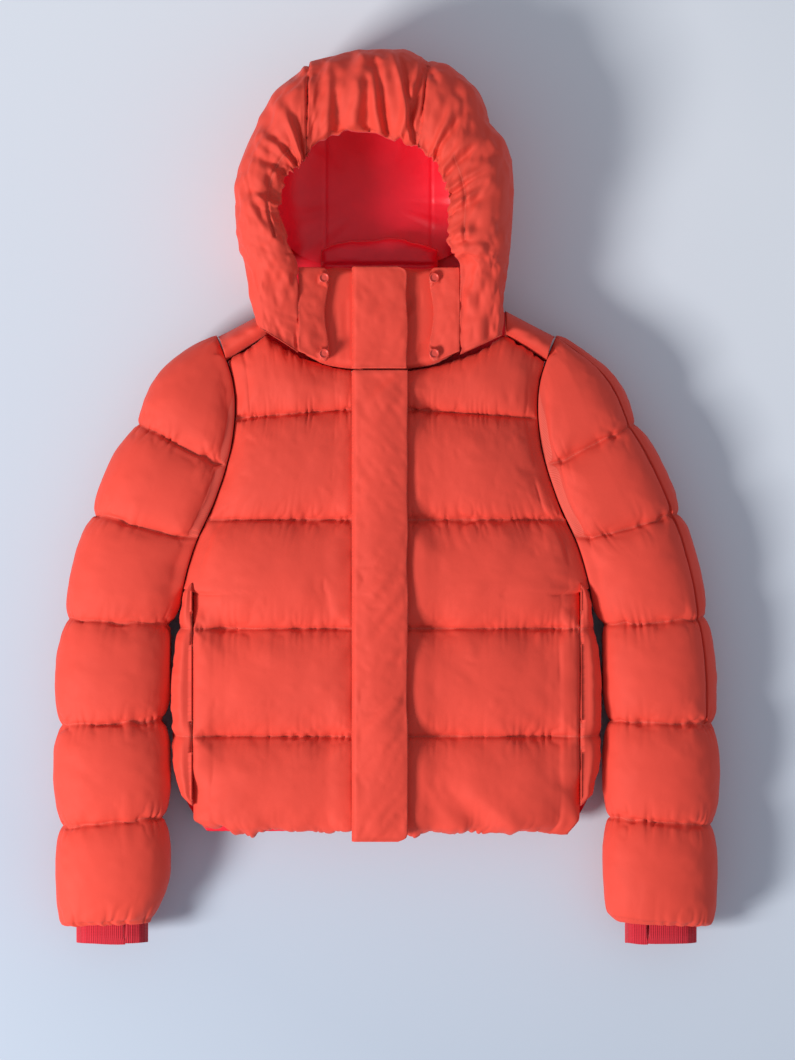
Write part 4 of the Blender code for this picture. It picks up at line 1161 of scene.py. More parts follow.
@dataclass
class BackPanel:
    """The whole quilted back, which the jacket lies on."""

    wardrobe: Wardrobe
    border_z: float = 0.0262
    top_z: float = 0.0298

    def build(self) -> bpy.types.Object:
        """Sews and swells the outside of the back, down to the floor."""
        low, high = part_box("back_panel")
        levels, marks = levels_through((low.y, *QUILT_LEVELS, CHEST_TOP), 0.0042)
        share = np.linspace(-1.0, 1.0, 109)[None]
        top_rows = 24
        tip, neck = (0.177, 0.170), (0.125, 0.197)
        x_edge = np.array([0.0, 0.080, 0.125, 0.177])
        y_edge = np.array([high.y, high.y, neck[1], tip[1]])
        edge = np.interp(np.abs(share) * 0.177, x_edge, y_edge)
        rise = np.linspace(0.0, 1.0, top_rows + 1)[1:, None]
        y = np.concatenate([levels[:, None] + 0 * share, CHEST_TOP + rise * (edge - CHEST_TOP)])
        side_y = np.concatenate([levels, CHEST_TOP + rise[:, 0] * (tip[1] - CHEST_TOP)])
        x = share * (half_width(side_y)[:, None] - 0.0010)
        rows, cols = x.shape
        marks = [*marks, rows - 1]
        z = np.full_like(x, 0.0085)
        rim = np.minimum(1 - np.abs(share), 0.02) / 0.02
        lip = np.minimum(np.arange(rows), np.arange(rows)[::-1])[:, None] / 4.0
        z = z + (self.border_z - z) * (1 - np.minimum(np.clip(rim, 0, 1), np.clip(lip, 0, 1))) ** 2
        start = np.stack([x, y, z], axis=-1)[:, ::-1]
        pinned = np.zeros((rows, cols), bool)
        pinned[marks] = True
        pinned[:, [0, -1]] = True
        loft = Loft(cap=0.012)
        outside = swell(start, pinned, loft, 51)
        outside[..., 2] = np.maximum(outside[..., 2], 0.0006)
        limit = half_width(outside[..., 1]) - 0.0004
        outside[..., 0] = np.clip(outside[..., 0], -limit, limit)
        inside = start.copy()
        depth = np.minimum(np.arange(rows), np.arange(rows)[::-1])[:, None] / 3.0
        across = np.minimum(np.arange(cols), np.arange(cols)[::-1])[None] / 3.0
        full = np.sqrt(np.clip(np.minimum(depth, across), 0, 1))
        inside[..., 2] = start[..., 2] + (self.top_z - start[..., 2]) * full
        fine, gap = refined(outside, pinned, marks)
        fine = puckered(fine, [2 * m for m in marks], 0, 53, depth=0.0012)
        fine[..., 2] = np.maximum(fine[..., 2], 0.0004)
        within = doubled(doubled(inside, 0, marks), 1)
        for edge in (np.s_[0], np.s_[-1], np.s_[:, 0], np.s_[:, -1]):
            within[edge] = fine[edge]
        skin = Skin("back").add(fine, stitch=gap).add(within, finish=1, flip=True)
        piece = skin.build(self.wardrobe.shell, self.wardrobe.lining)
        return fitted(piece, "coat", ["back_panel"])


@dataclass
class BodyLinings:
    """Thin linings inside the body, and the pocket bags."""

    wardrobe: Wardrobe

    def thin(self, node: str, outline: Array, z: float) -> None:
        """Makes one lining from its outline: rows between a left and a right edge.

        Args:
            node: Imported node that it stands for.
            outline: Rows of (y, left x, right x).
            z: Height of its middle.
        """
        share = np.linspace(0.0, 1.0, 60)[None]
        x = outline[:, 1:2] + (outline[:, 2:3] - outline[:, 1:2]) * share
        y = outline[:, :1] + 0 * share
        lift = z + 0.0003 * noise(x / 0.03, y / 0.03, 61)
        skin = Skin(f"{node}_cloth").add(np.stack([x, y, lift], axis=-1))
        piece = skin.build(self.wardrobe.lining, outward=False)
        wall = piece.modifiers.new("Wall", "SOLIDIFY")
        wall.thickness, wall.offset = 0.0008, 0.0
        fitted(piece, "coat", [node])

    def build(self) -> None:
        """Builds the back lining, both front linings and both pocket bags."""
        low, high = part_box("back_lining")
        y = np.linspace(low.y, 0.1434, 110)
        half = np.minimum(half_width(y) - 0.0015, high.x)
        neck = np.stack([np.linspace(0.1434, high.y, 10)[1:], np.linspace(0.1600, 0.126, 10)[1:]], 1)
        body_rows = np.stack([y, -half, half], 1)
        neck_rows = np.stack([neck[:, 0], -neck[:, 1], neck[:, 1]], 1)
        rows = np.concatenate([body_rows, neck_rows])
        self.thin("back_lining", rows, (low.z + high.z) / 2)
        for side in Side:
            low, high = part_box(f"{side.label}_front_lining")
            y = np.linspace(low.y, 0.1280, 100)
            half = np.minimum(half_width(y) - 0.0040, max(abs(low.x), abs(high.x)))
            inner = high.x if side is Side.LEFT else low.x
            edges = np.stack([y, np.full_like(y, inner), side.value * half], 1)
            rows = edges if side is Side.RIGHT else edges[:, [0, 2, 1]]
            self.thin(f"{side.label}_front_lining", rows, (low.z + high.z) / 2)
            low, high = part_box(f"{side.label}_pocket_bag")
            y = np.linspace(low.y, high.y, 50)
            rows = np.stack([y, np.full_like(y, low.x), np.full_like(y, high.x)], 1)
            level = (low.z + high.z) / 2 - 0.0009
            self.thin(f"{side.label}_pocket_bag", rows, level)


# --- Sleeves ------------------------------------------------------------------------------

# (outer x, outer y, inner x, inner y) of each ring across a sleeve, and whether it is stitched
SLEEVE_RINGS = np.array(
    [
        (0.1790, 0.1712, 0.1645, 0.1440, 1),
        (0.2330, 0.1330, 0.1635, 0.1000, 0),
        (0.2655, 0.0800, 0.1735, 0.0315, 1),
        (0.2930, 0.0280, 0.1840, -0.0120, 0),
        (0.3120, -0.0150, 0.2012, -0.0451, 1),
        (0.3275, -0.0690, 0.2125, -0.0890, 0),
        (0.3395, -0.1260, 0.2225, -0.1340, 1),
        (0.3455, -0.1830, 0.2282, -0.1850, 0),
        (0.3475, -0.2380, 0.2290, -0.2330, 1),
        (0.3480, -0.2900, 0.2285, -0.2870, 0),
        (0.3465, -0.3450, 0.2292, -0.3340, 1),
        (0.3455, -0.3980, 0.2300, -0.3900, 0),
        (0.3445, -0.4490, 0.2320, -0.4400, 1),
    ]
)


@dataclass
class Sleeve:
    """A quilted sleeve from the armhole seam to its hem, with its lining."""

    side: Side
    wardrobe: Wardrobe
    columns: int = 92
    cell: float = 0.0037
    middle_z: float = 0.0430
    seam_half: float = 0.0275
    puff_half: float = 0.0350
    lumen: tuple[float, float] = (0.0385, 0.0190)

    def rings(self) -> tuple[Array, Array, Array, list[int]]:
        """Outer and inner ends of each ring, its share of puff, and its stitched rows."""
        knots = SLEEVE_RINGS.copy()
        if self.side is Side.LEFT:
            knots[-1, 2:4] = (0.2440, -0.4410)
            knots[-2, 2:4] = (0.2302, -0.3960)
        middle = (knots[:, :2] + knots[:, 2:4]) / 2
        place = np.concatenate([[0], np.cumsum(np.linalg.norm(np.diff(middle, axis=0), axis=1))])
        stops = place[knots[:, 4] > 0]
        at, marks = levels_through(stops, self.cell)
        ends = curve_at(place, knots[:, :4], at)
        joined = smooth(-0.130, -0.085, ends[:, 3])
        ends[:, 2] += joined * (half_width(ends[:, 3]) + 0.0006 - ends[:, 2])
        puff = np.zeros(len(at))
        for low, high in zip(marks, marks[1:]):
            t = np.linspace(-1, 1, high - low + 1)
            puff[low : high + 1] = np.sqrt(np.clip(1 - t * t, 0, 1))
        middle = (ends[:, :2] + ends[:, 2:]) / 2
        notch = (0.0025 + 0.0035 * (1 - puff)) * smooth(0.02, 0.12, at / at[-1])
        notch = notch * (1 - 0.6 * smooth(0.93, 1.0, at / at[-1]))
        for columns in (slice(0, 2), slice(2, 4)):
            away = ends[:, columns] - middle
            away = away / np.linalg.norm(away, axis=1, keepdims=True)
            ends[:, columns] -= away * notch[:, None]
        return ends[:, :2], ends[:, 2:], puff, marks

    def tube(self, outer: Array, inner: Array, half: Array, power: Array) -> Array:
        """Rings of a superellipse that stands across the sleeve.

        A point is the ring's middle, plus the half width times the signed
        cosine power across, plus the half height times the signed sine power.

        Args:
            outer: Outer end of each ring, in plan.
            inner: Inner end of each ring, in plan.
            half: Half height of each ring.
            power: Exponent of the superellipse, for each ring on its inner side.

        Returns:
            Points, rings by columns by 3, on the right-hand side.
        """
        angle = np.linspace(0, 2 * np.pi, self.columns, endpoint=False)[None]
        c, s = np.cos(angle), np.sin(angle)
        bent = np.where(c < 0, power[:, None], 2.3)
        c = np.sign(c) * np.abs(c) ** (2 / bent)
        s = np.sign(s) * np.abs(s) ** (2 / bent)
        centre, reach = (outer + inner) / 2, (outer - inner) / 2 * 0.992
        xy = centre[:, None] + reach[:, None] * c[..., None]
        z = self.middle_z + half[:, None] * s
        return np.concatenate([xy, z[..., None]], axis=-1)

    def build(self) -> bpy.types.Object:
        """Sews, swells and dresses the sleeve."""
        label, sign = self.side.label, self.side.value
        seed = 71 + sign
        outer, inner, puff, marks = self.rings()
        rows = len(puff)
        row = np.arange(rows) / rows
        half = self.seam_half + (self.puff_half - self.seam_half) * puff
        half = half * (0.72 + 0.28 * smooth(0.0, 0.16, row))
        sewn = 1 - smooth(marks[2] - 4, marks[2] + 10, np.arange(rows))
        tube = self.tube(outer, inner, half, 2.3 + 3.2 * sewn)
        angle = np.linspace(0, 2 * np.pi, self.columns, endpoint=False)
        pinned = np.zeros((rows, self.columns), bool)
        pinned[marks] = True
        underarm = marks[2]
        near_body = np.abs(angle - np.pi) < 0.80
        pinned[:underarm, near_body] = True
        creases: list[int] = []
        if self.side is Side.RIGHT:
            creases = [round(0.62 / (2 * np.pi) * self.columns)]
            pinned[: marks[4], creases[0]] = True
            tube[: marks[4], creases[0], 2] -= 0.0035
        wave = 0.0030 * noise(np.arange(self.columns)[None] / 4.0, row[:, None] * 40, seed)
        tube[..., 1] += wave * pinned * smooth(0.1, 0.2, row)[:, None] * (row[:, None] < 0.98)
        inward = np.clip(-np.cos(angle), 0, 1)[None]
        slack = 0.13 * inward**2 * smooth(0.1, 0.3, row)[:, None]
        start = tube
        loft = Loft(cap=0.016, dome=0.40)
        skin_points = swell(start, pinned, loft, seed, closed=True, slack=slack)
        skin_points = self.kept_clear(skin_points)
        fine, gap = refined(skin_points, pinned, marks, creases, True)
        stitched = [2 * m for m in marks[1:]]
        fine = puckered(fine, stitched, 0, seed + 5, depth=0.0046, reach=0.012, pitch=0.0075, closed=True)
        fine = self.kept_clear(fine)
        skin = Skin(f"{label}_sleeve")
        mirror = np.array([sign, 1.0, 1.0])
        skin.add(fine * mirror, closed=True, stitch=gap)
        last = fine[-1]
        centre = np.array([0.2885, last[:, 1].mean(), self.middle_z])
        lumen = self.lumen_ring(len(last), centre)
        t = np.linspace(0, 1, 7)[:, None, None]
        turn = last * (1 - t) + lumen * t
        turn[..., 1] -= (0.0030 * np.sin(np.pi * t[..., 0]))
        skin.add(turn * mirror, closed=True)
        depth = np.linspace(0, 0.115, 30)[:, None]
        inside = np.repeat(lumen[None], 30, axis=0)
        inside[..., 1] += depth
        skin.add(inside * mirror, closed=True, finish=1)
        end = inside[-1]
        plug = end.mean(0) + (end - end.mean(0)) * np.linspace(1, 0.0, 8)[:, None, None]
        skin.add(plug * mirror, closed=True, finish=1)
        first = fine[0]
        cap = first.mean(0) + (first - first.mean(0)) * np.linspace(1, 0.0, 8)[:, None, None]
        skin.add(cap * mirror, closed=True)
        piece = skin.build(self.wardrobe.shell, self.wardrobe.lining)
        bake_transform(piece)
        nodes = [f"{label}_upper_sleeve", f"{label}_forearm_sleeve"]
        return fitted(piece, "", nodes)

    def lumen_ring(self, count: int, centre: Array) -> Array:
        """Ring of the sleeve's inside at the hem, point for point with the outside.

        Args:
            count: Points round the ring.
            centre: Its middle.

        Returns:
            The ring's points.
        """
        angle = np.linspace(0, 2 * np.pi, count, endpoint=False)
        c, s = np.cos(angle), np.sin(angle)
        across = self.lumen[0] * np.sign(c) * np.abs(c) ** 0.8
        up = self.lumen[1] * np.sign(s) * np.abs(s) ** 0.8
        return centre + np.stack([across, 0 * c, up], 1)

    def kept_clear(self, points: Array) -> Array:
        """Keeps the sleeve off the floor and off the body's flank.

        Args:
            points: Points of the sleeve, with X away from the body.

        Returns:
            The moved points.
        """
        points = points.copy()
        z = points[..., 2]
        points[..., 2] = np.where(z < 0.004, 0.0006 + 0.0034 * np.exp((z - 0.004) / 0.004), z)
        flank = np.where(points[..., 1] > -0.130, half_width(points[..., 1]), 0.2265) + 0.0008
        beside = points[..., 1] < 0.150
        away = points[..., 0] - flank
        sewn = smooth(-0.105, -0.085, points[..., 1]) * (1 - smooth(0.006, 0.016, away))
        sewn = sewn * smooth(0.012, 0.022, points[..., 2]) * (1 - smooth(0.0650, 0.0720, points[..., 2]))
        points[..., 0] -= np.maximum(away, 0.0) * beside * sewn
        points[..., 0] += np.maximum(-away, 0.0) * beside
        return points


@dataclass
class StormCuff:
    """Ribbed cuff inside the sleeve's end, slit for the thumb."""

    side: Side
    wardrobe: Wardrobe
    slit_x: float = 0.2775
    slit_width: float = 0.0034
    wall: float = 0.0016

    def build(self) -> bpy.types.Object:
        """Builds the cuff as an open band that starts and ends at its slit.

        The band's two edges meet along the slit's line, and stand apart by a
        half ellipse where the slit is.

        Returns:
            The piece.
        """
        label, sign = self.side.label, self.side.value
        low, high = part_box(f"{label}_storm_cuff")
        centre = (abs(low.x) + abs(high.x)) / 2
        half_x = (high.x - low.x) / 2 - self.wall / 2
        half_z = (high.z - low.z) / 2 - self.wall / 2
        middle = (low.z + high.z) / 2
        y = np.linspace(low.y, high.y, 60)[:, None]
        at = math.acos(max(-1.0, min(1.0, (self.slit_x - centre) / half_x)))
        angle = at + np.linspace(0, 2 * np.pi, 161)[None]
        c, s = np.cos(angle), np.sin(angle)
        fade = smooth(0.0, 0.010, y - low.y)
        rib = 0.0003 * np.cos(angle * 60)
        x = centre + (half_x + rib) * np.sign(c) * np.abs(c) ** (2 / 2.6)
        z = middle + (half_z + rib) * np.sign(s) * np.abs(s) ** (2 / 2.6)
        z = middle + (z - middle) * (0.86 + 0.14 * fade)
        slit_low, slit_high = low.y + 0.0050, low.y + 0.0260
        t = np.clip((2 * y - slit_low - slit_high) / (slit_high - slit_low), -1, 1)
        part = self.slit_width / 2 * np.sqrt(1 - t * t)
        near = np.exp(-np.minimum(angle - at, at + 2 * np.pi - angle) / 0.10)
        away = np.where(angle - at < np.pi, -1.0, 1.0)
        x = x + part * near * away
        yy = y + 0.0012 * noise(angle * 1.5, y * 0, 81 + sign) * (1 - fade) + 0 * angle
        grid = np.stack([sign * x, yy, z], axis=-1)
        skin = Skin(f"{label}_cuff").add(grid, flip=sign > 0)
        piece = skin.build(self.wardrobe.knit, outward=False)
        wall = piece.modifiers.new("Wall", "SOLIDIFY")
        wall.thickness, wall.offset = self.wall, 0.0
        return fitted(piece, f"{label}_cuff", [f"{label}_storm_cuff"])


# --- Collar and flap ----------------------------------------------------------------------


@dataclass
class CollarFront:
    """One front half of the stand collar, bent back round the neck."""

    side: Side
    wardrobe: Wardrobe
    centre_x: float = -0.0075

    def build(self) -> bpy.types.Object:
        """Builds the half: a pad carried along Y, whose section turns down at its wall.

        The section runs level from the zip, round a quarter turn, and down to
        the back half. Its top side swells and ruffles, and its inside is plain.

        Returns:
            The piece.
        """
        label, sign = self.side.label, self.side.value
        low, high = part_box(f"{label}_collar_front")
        inner = (high.x if sign < 0 else low.x) - self.centre_x
        reach = abs(inner)
        stops = [(reach, high.z), (0.040, high.z), (0.0700, high.z - 0.001)]
        stops += [(0.0790, high.z - 0.008), (0.0795, 0.055), (0.0790, low.z + 0.001)]
        t = np.linspace(0.0, 1.0, 76)
        path = along(stops, t)
        s = np.linspace(0.0, 1.0, 60)[:, None]
        across = path[None, :, 0]
        share = np.clip((across - reach) / (0.125 - reach), 0, 1)
        y_low = low.y + 0.0006 + (0.1707 - 0.1325) * share**2
        y_low = np.minimum(y_low + 0 * s, 0.1580)
        y_high = high.y - 0.0014 + 0.0012 * noise(across / 0.009, across * 0, 91 + sign)
        y = y_low + (y_high - y_low) * s
        x = self.centre_x + sign * (across + 0 * s)
        edge = np.minimum(np.minimum(s, 1 - s) / 0.10, np.minimum(t, 1 - t)[None] / 0.04)
        full = np.sqrt(np.clip(edge, 0, 1) * (2 - np.clip(edge, 0, 1)))
        fold = noise((x - y * 0.8) / 0.020, (x + y) / 0.07, 93 + sign)
        ruffle = 0.0022 * fold + 0.0010 * noise(x / 0.006, y / 0.02, 95 + sign)
        z = path[None, :, 1] + 0 * s
        depth = 0.0090
        normal = np.gradient(path, axis=0)
        normal = np.stack([-normal[:, 1], normal[:, 0]], 1) / np.linalg.norm(normal, axis=1)[:, None]
        lift = depth * (full - 1) + ruffle * full
        out = np.stack([x + sign * normal[None, :, 0] * lift, y, z + normal[None, :, 1] * lift], -1)
        out[..., 2] = np.minimum(out[..., 2], high.z + 0.0008)
        drop = -depth - depth * full
        back = np.stack([x + sign * normal[None, :, 0] * drop, y, z + normal[None, :, 1] * drop], -1)
        stitch = np.minimum(s * 0.1, np.abs(1 - s) * 0.1 + 0.004) + 0 * x
        skin = Skin(f"{label}_collar")
        skin.add(out, flip=sign < 0, stitch=stitch).add(back, finish=1, flip=sign > 0)
        piece = skin.build(self.wardrobe.shell, self.wardrobe.lining, weld=2e-5)
        return fitted(piece, "coat", [f"{label}_collar_front"])


@dataclass
class CollarBack:
    """The back half of the stand collar, lined and padded."""

    wardrobe: Wardrobe

    def build(self) -> bpy.types.Object:
        """Builds the band: a flat pad whose edges round over."""
        low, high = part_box("collar_back")
        s = np.linspace(0, 1, 70)[:, None]
        t = np.linspace(0, 1, 80)[None]
        x = low.x + (high.x - low.x) * t
        bow = 0.012 * np.abs(2 * t - 1) ** 3
        top_y = high.y - bow - 0.002 + 0.0014 * noise(x / 0.014, x * 0, 101)
        y = low.y + (top_y - low.y) * s
        edge = np.minimum(np.minimum(s, 1 - s) / 0.10, np.minimum(t, 1 - t) / 0.08)
        full = np.sqrt(np.clip(edge, 0, 1) * (2 - np.clip(edge, 0, 1)))
        middle = (low.z + high.z) / 2
        seam = np.exp(-((y - (high.y - 0.030)) ** 2) / 0.0025**2)
        lift = (high.z - middle) * full * (1 - 0.45 * seam)
        lift = lift + 0.0009 * noise(x / 0.012, y / 0.008, 103) * full
        top = np.stack([x + 0 * s, y, middle + np.minimum(lift, high.z - middle)], -1)
        under = np.stack([x + 0 * s, y, middle - (middle - low.z) * full], -1)
        stitch = np.abs(y - (high.y - 0.030))
        skin = Skin("collar_back_band").add(top, stitch=stitch).add(under, flip=True)
        piece = skin.build(self.wardrobe.lining)
        return fitted(piece, "coat", ["collar_back"])


@dataclass
class ZipGuard:
    """The padded strip behind the zip, which keeps the teeth off the wearer."""

    wardrobe: Wardrobe
    hem: float = 0.0060

    def build(self) -> bpy.types.Object:
        """Builds the strip: a low arch across, with its seams pressed in beside the edges.

        The height across is the square root of one less the fourth power of
        the place from the middle, dented along each seam by a bell curve.

        Returns:
            The piece.
        """
        low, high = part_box("zip_guard")
        t = np.linspace(-1, 1, 29)[None]
        s = np.linspace(0, 1, 260)[:, None]
        half = (high.x - low.x) / 2
        x = (low.x + high.x) / 2 + half * t
        y = low.y + (high.y - low.y) * s
        ends = np.clip(np.minimum(s, 1 - s) / 0.008, 0, 1) ** 0.5
        full = np.sqrt(np.clip(1 - t**4, 0, 1)) * ends
        seam = (1 - np.abs(t)) * half
        dent = 0.35 * np.exp(-(((seam - self.hem) / 0.0012) ** 2))
        ripple = 1 - 0.12 * (1 + noise(t * 2.0, y / 0.012, 171)) * full
        middle = (low.z + high.z) / 2
        lift = (high.z - middle) * full * (1 - dent) * ripple
        drop = (middle - low.z) * full
        top = np.stack([x + 0 * s, y + 0 * t, middle + lift], -1)
        under = np.stack([x + 0 * s, y + 0 * t, middle - drop], -1)
        stitch = np.abs(seam - self.hem) + 0 * s
        skin = Skin("zip_guard_pad").add(top, stitch=stitch).add(under, flip=True)
        piece = skin.build(self.wardrobe.lining)
        return fitted(piece, "coat", ["zip_guard"])


@dataclass
class StormFlap:
    """The padded flap over the zip, in a body length and a collar length."""

    wardrobe: Wardrobe
    node: str
    round_top: float
    round_foot: float
    seed: int
    edge: float = 0.0026

    def build(self) -> bpy.types.Object:
        """Builds one length: a swollen top and a plain underside on one border.

        In plan it is a strip whose free corners are rounded by pulling the free
        edge in near an end by a quarter circle. The sewn edge drops to the
        front below it.

        Returns:
            The piece.
        """
        low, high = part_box(self.node)
        bottom = high.z - 0.010
        length, width = high.y - low.y, high.x - low.x
        rows = max(20, round(length / 0.0030))
        cols = round(width / 0.0030)
        s = np.linspace(0, 1, rows + 1)[:, None]
        t = np.linspace(0, 1, cols + 1)[None]
        y = low.y + length * s + 0 * t
        pull = np.zeros_like(y[:, :1])
        for radius, away in ((self.round_foot, y[:, :1] - low.y), (self.round_top, high.y - y[:, :1])):
            u = np.clip(1 - away / max(radius, 1e-6), 0, 1)
            pull = pull + radius * (1 - np.sqrt(1 - np.minimum(u, 1) ** 2)) * (radius > 0)
        wobble = 0.0010 * noise(y[:, :1] / 0.035, y[:, :1] * 0, self.seed)
        x = low.x + (width - 0.0012 - pull + wobble) * t
        rim = bottom + 0.0045
        sewn = (low.z + 0.0040 - rim) * np.clip(1 - t / 0.06, 0, 1)
        start = np.stack([x, y, np.full_like(x, rim) + sewn], -1)
        pinned = np.zeros(x.shape, bool)
        pinned[[0, -1]] = True
        pinned[:, [0, -1]] = True
        loft = Loft(cap=0.0090, spare=0.02, seam_spare=0.03, pressure=6.0, crumple=0.0008)
        slack = 0.06 * np.clip(noise(x / 0.05, y / 0.04, self.seed + 1), 0, 1)
        top = swell(start, pinned, loft, self.seed, slack=slack)
        top[..., 2] = np.minimum(top[..., 2], high.z + 0.004)
        fine, gap = refined(top, pinned)
        slant = fine[..., 0] - fine[..., 1]
        fold = noise(slant / 0.014, (fine[..., 0] + fine[..., 1]) / 0.05, self.seed + 3)
        dent = np.clip(noise(fine[..., 1] / 0.06, fine[..., 0] / 0.05, self.seed + 4), 0, 1)
        fine[..., 2] += 0.0030 * fold * dent * smooth(0.0, 0.010, gap)
        foot = np.where(fine[..., 0] < low.x + 0.0045, low.z + 0.0003, bottom + 0.0004)
        skin = pad_of(f"{self.node}_pad", fine, gap, foot)
        piece = skin.build(self.wardrobe.shell)
        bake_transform(piece)
        return fitted(piece, "", [self.node])


# --- Hood ---------------------------------------------------------------------------------

# (rim x, rim y, outer x, outer y) of each rib of the hood, from its left foot to its right
HOOD_RIBS = np.array(
    [
        (-0.0910, 0.1510, -0.1310, 0.1760), (-0.0910, 0.1950, -0.1400, 0.2080),
        (-0.0915, 0.2385, -0.1450, 0.2420), (-0.1000, 0.2600, -0.1507, 0.2688),
        (-0.1085, 0.2860, -0.1530, 0.3030), (-0.1095, 0.3040, -0.1530, 0.3350),
        (-0.1030, 0.3290, -0.1433, 0.3640), (-0.0935, 0.3390, -0.1290, 0.3927),
        (-0.0870, 0.3440, -0.1085, 0.4270), (-0.0820, 0.3500, -0.0803, 0.4483),
        (-0.0740, 0.3640, -0.0580, 0.4575), (-0.0480, 0.3755, -0.0300, 0.4640),
        (-0.0150, 0.3760, 0.0000, 0.4665), (0.0120, 0.3680, 0.0250, 0.4625),
        (0.0325, 0.3595, 0.0440, 0.4535), (0.0440, 0.3510, 0.0700, 0.4455),
        (0.0530, 0.3412, 0.0930, 0.4240), (0.0600, 0.3250, 0.1076, 0.3880),
        (0.0630, 0.3080, 0.1230, 0.3640), (0.0646, 0.2920, 0.1275, 0.3400),
        (0.0630, 0.2700, 0.1270, 0.2980), (0.0680, 0.2520, 0.1240, 0.2600),
        (0.0760, 0.2385, 0.1222, 0.2350), (0.0760, 0.1950, 0.1215, 0.1990),
        (0.0760, 0.1480, 0.1205, 0.1690),
    ]
)
LEFT_SEAM, RIGHT_SEAM = 9, 14
# (rib, lean, reach, width, height) of the large folds at the rim
BROW_FOLDS = (
    (10.6, -0.9, 0.55, 0.22, 0.0060), (11.5, -0.5, 0.75, 0.24, 0.0080), (12.3, -1.4, 0.80, 0.20, 0.0085),
    (13.0, 0.9, 0.60, 0.20, 0.0080), (13.6, -1.8, 0.70, 0.18, 0.0070), (15.1, 1.2, 0.55, 0.25, 0.0060),
    (16.4, 1.0, 0.50, 0.22, 0.0055), (17.6, 1.2, 0.45, 0.22, 0.0050), (8.2, -0.8, 0.50, 0.24, 0.0060),
    (7.0, -0.7, 0.60, 0.22, 0.0055), (5.9, -0.5, 0.45, 0.20, 0.0045), (4.8, -0.9, 0.50, 0.20, 0.0040),
    (18.8, 0.6, 0.50, 0.22, 0.0045), (20.1, 0.9, 0.50, 0.22, 0.0040),
)
NECK_RIBS = 1.75  # ribs at each end that lie over the shoulders


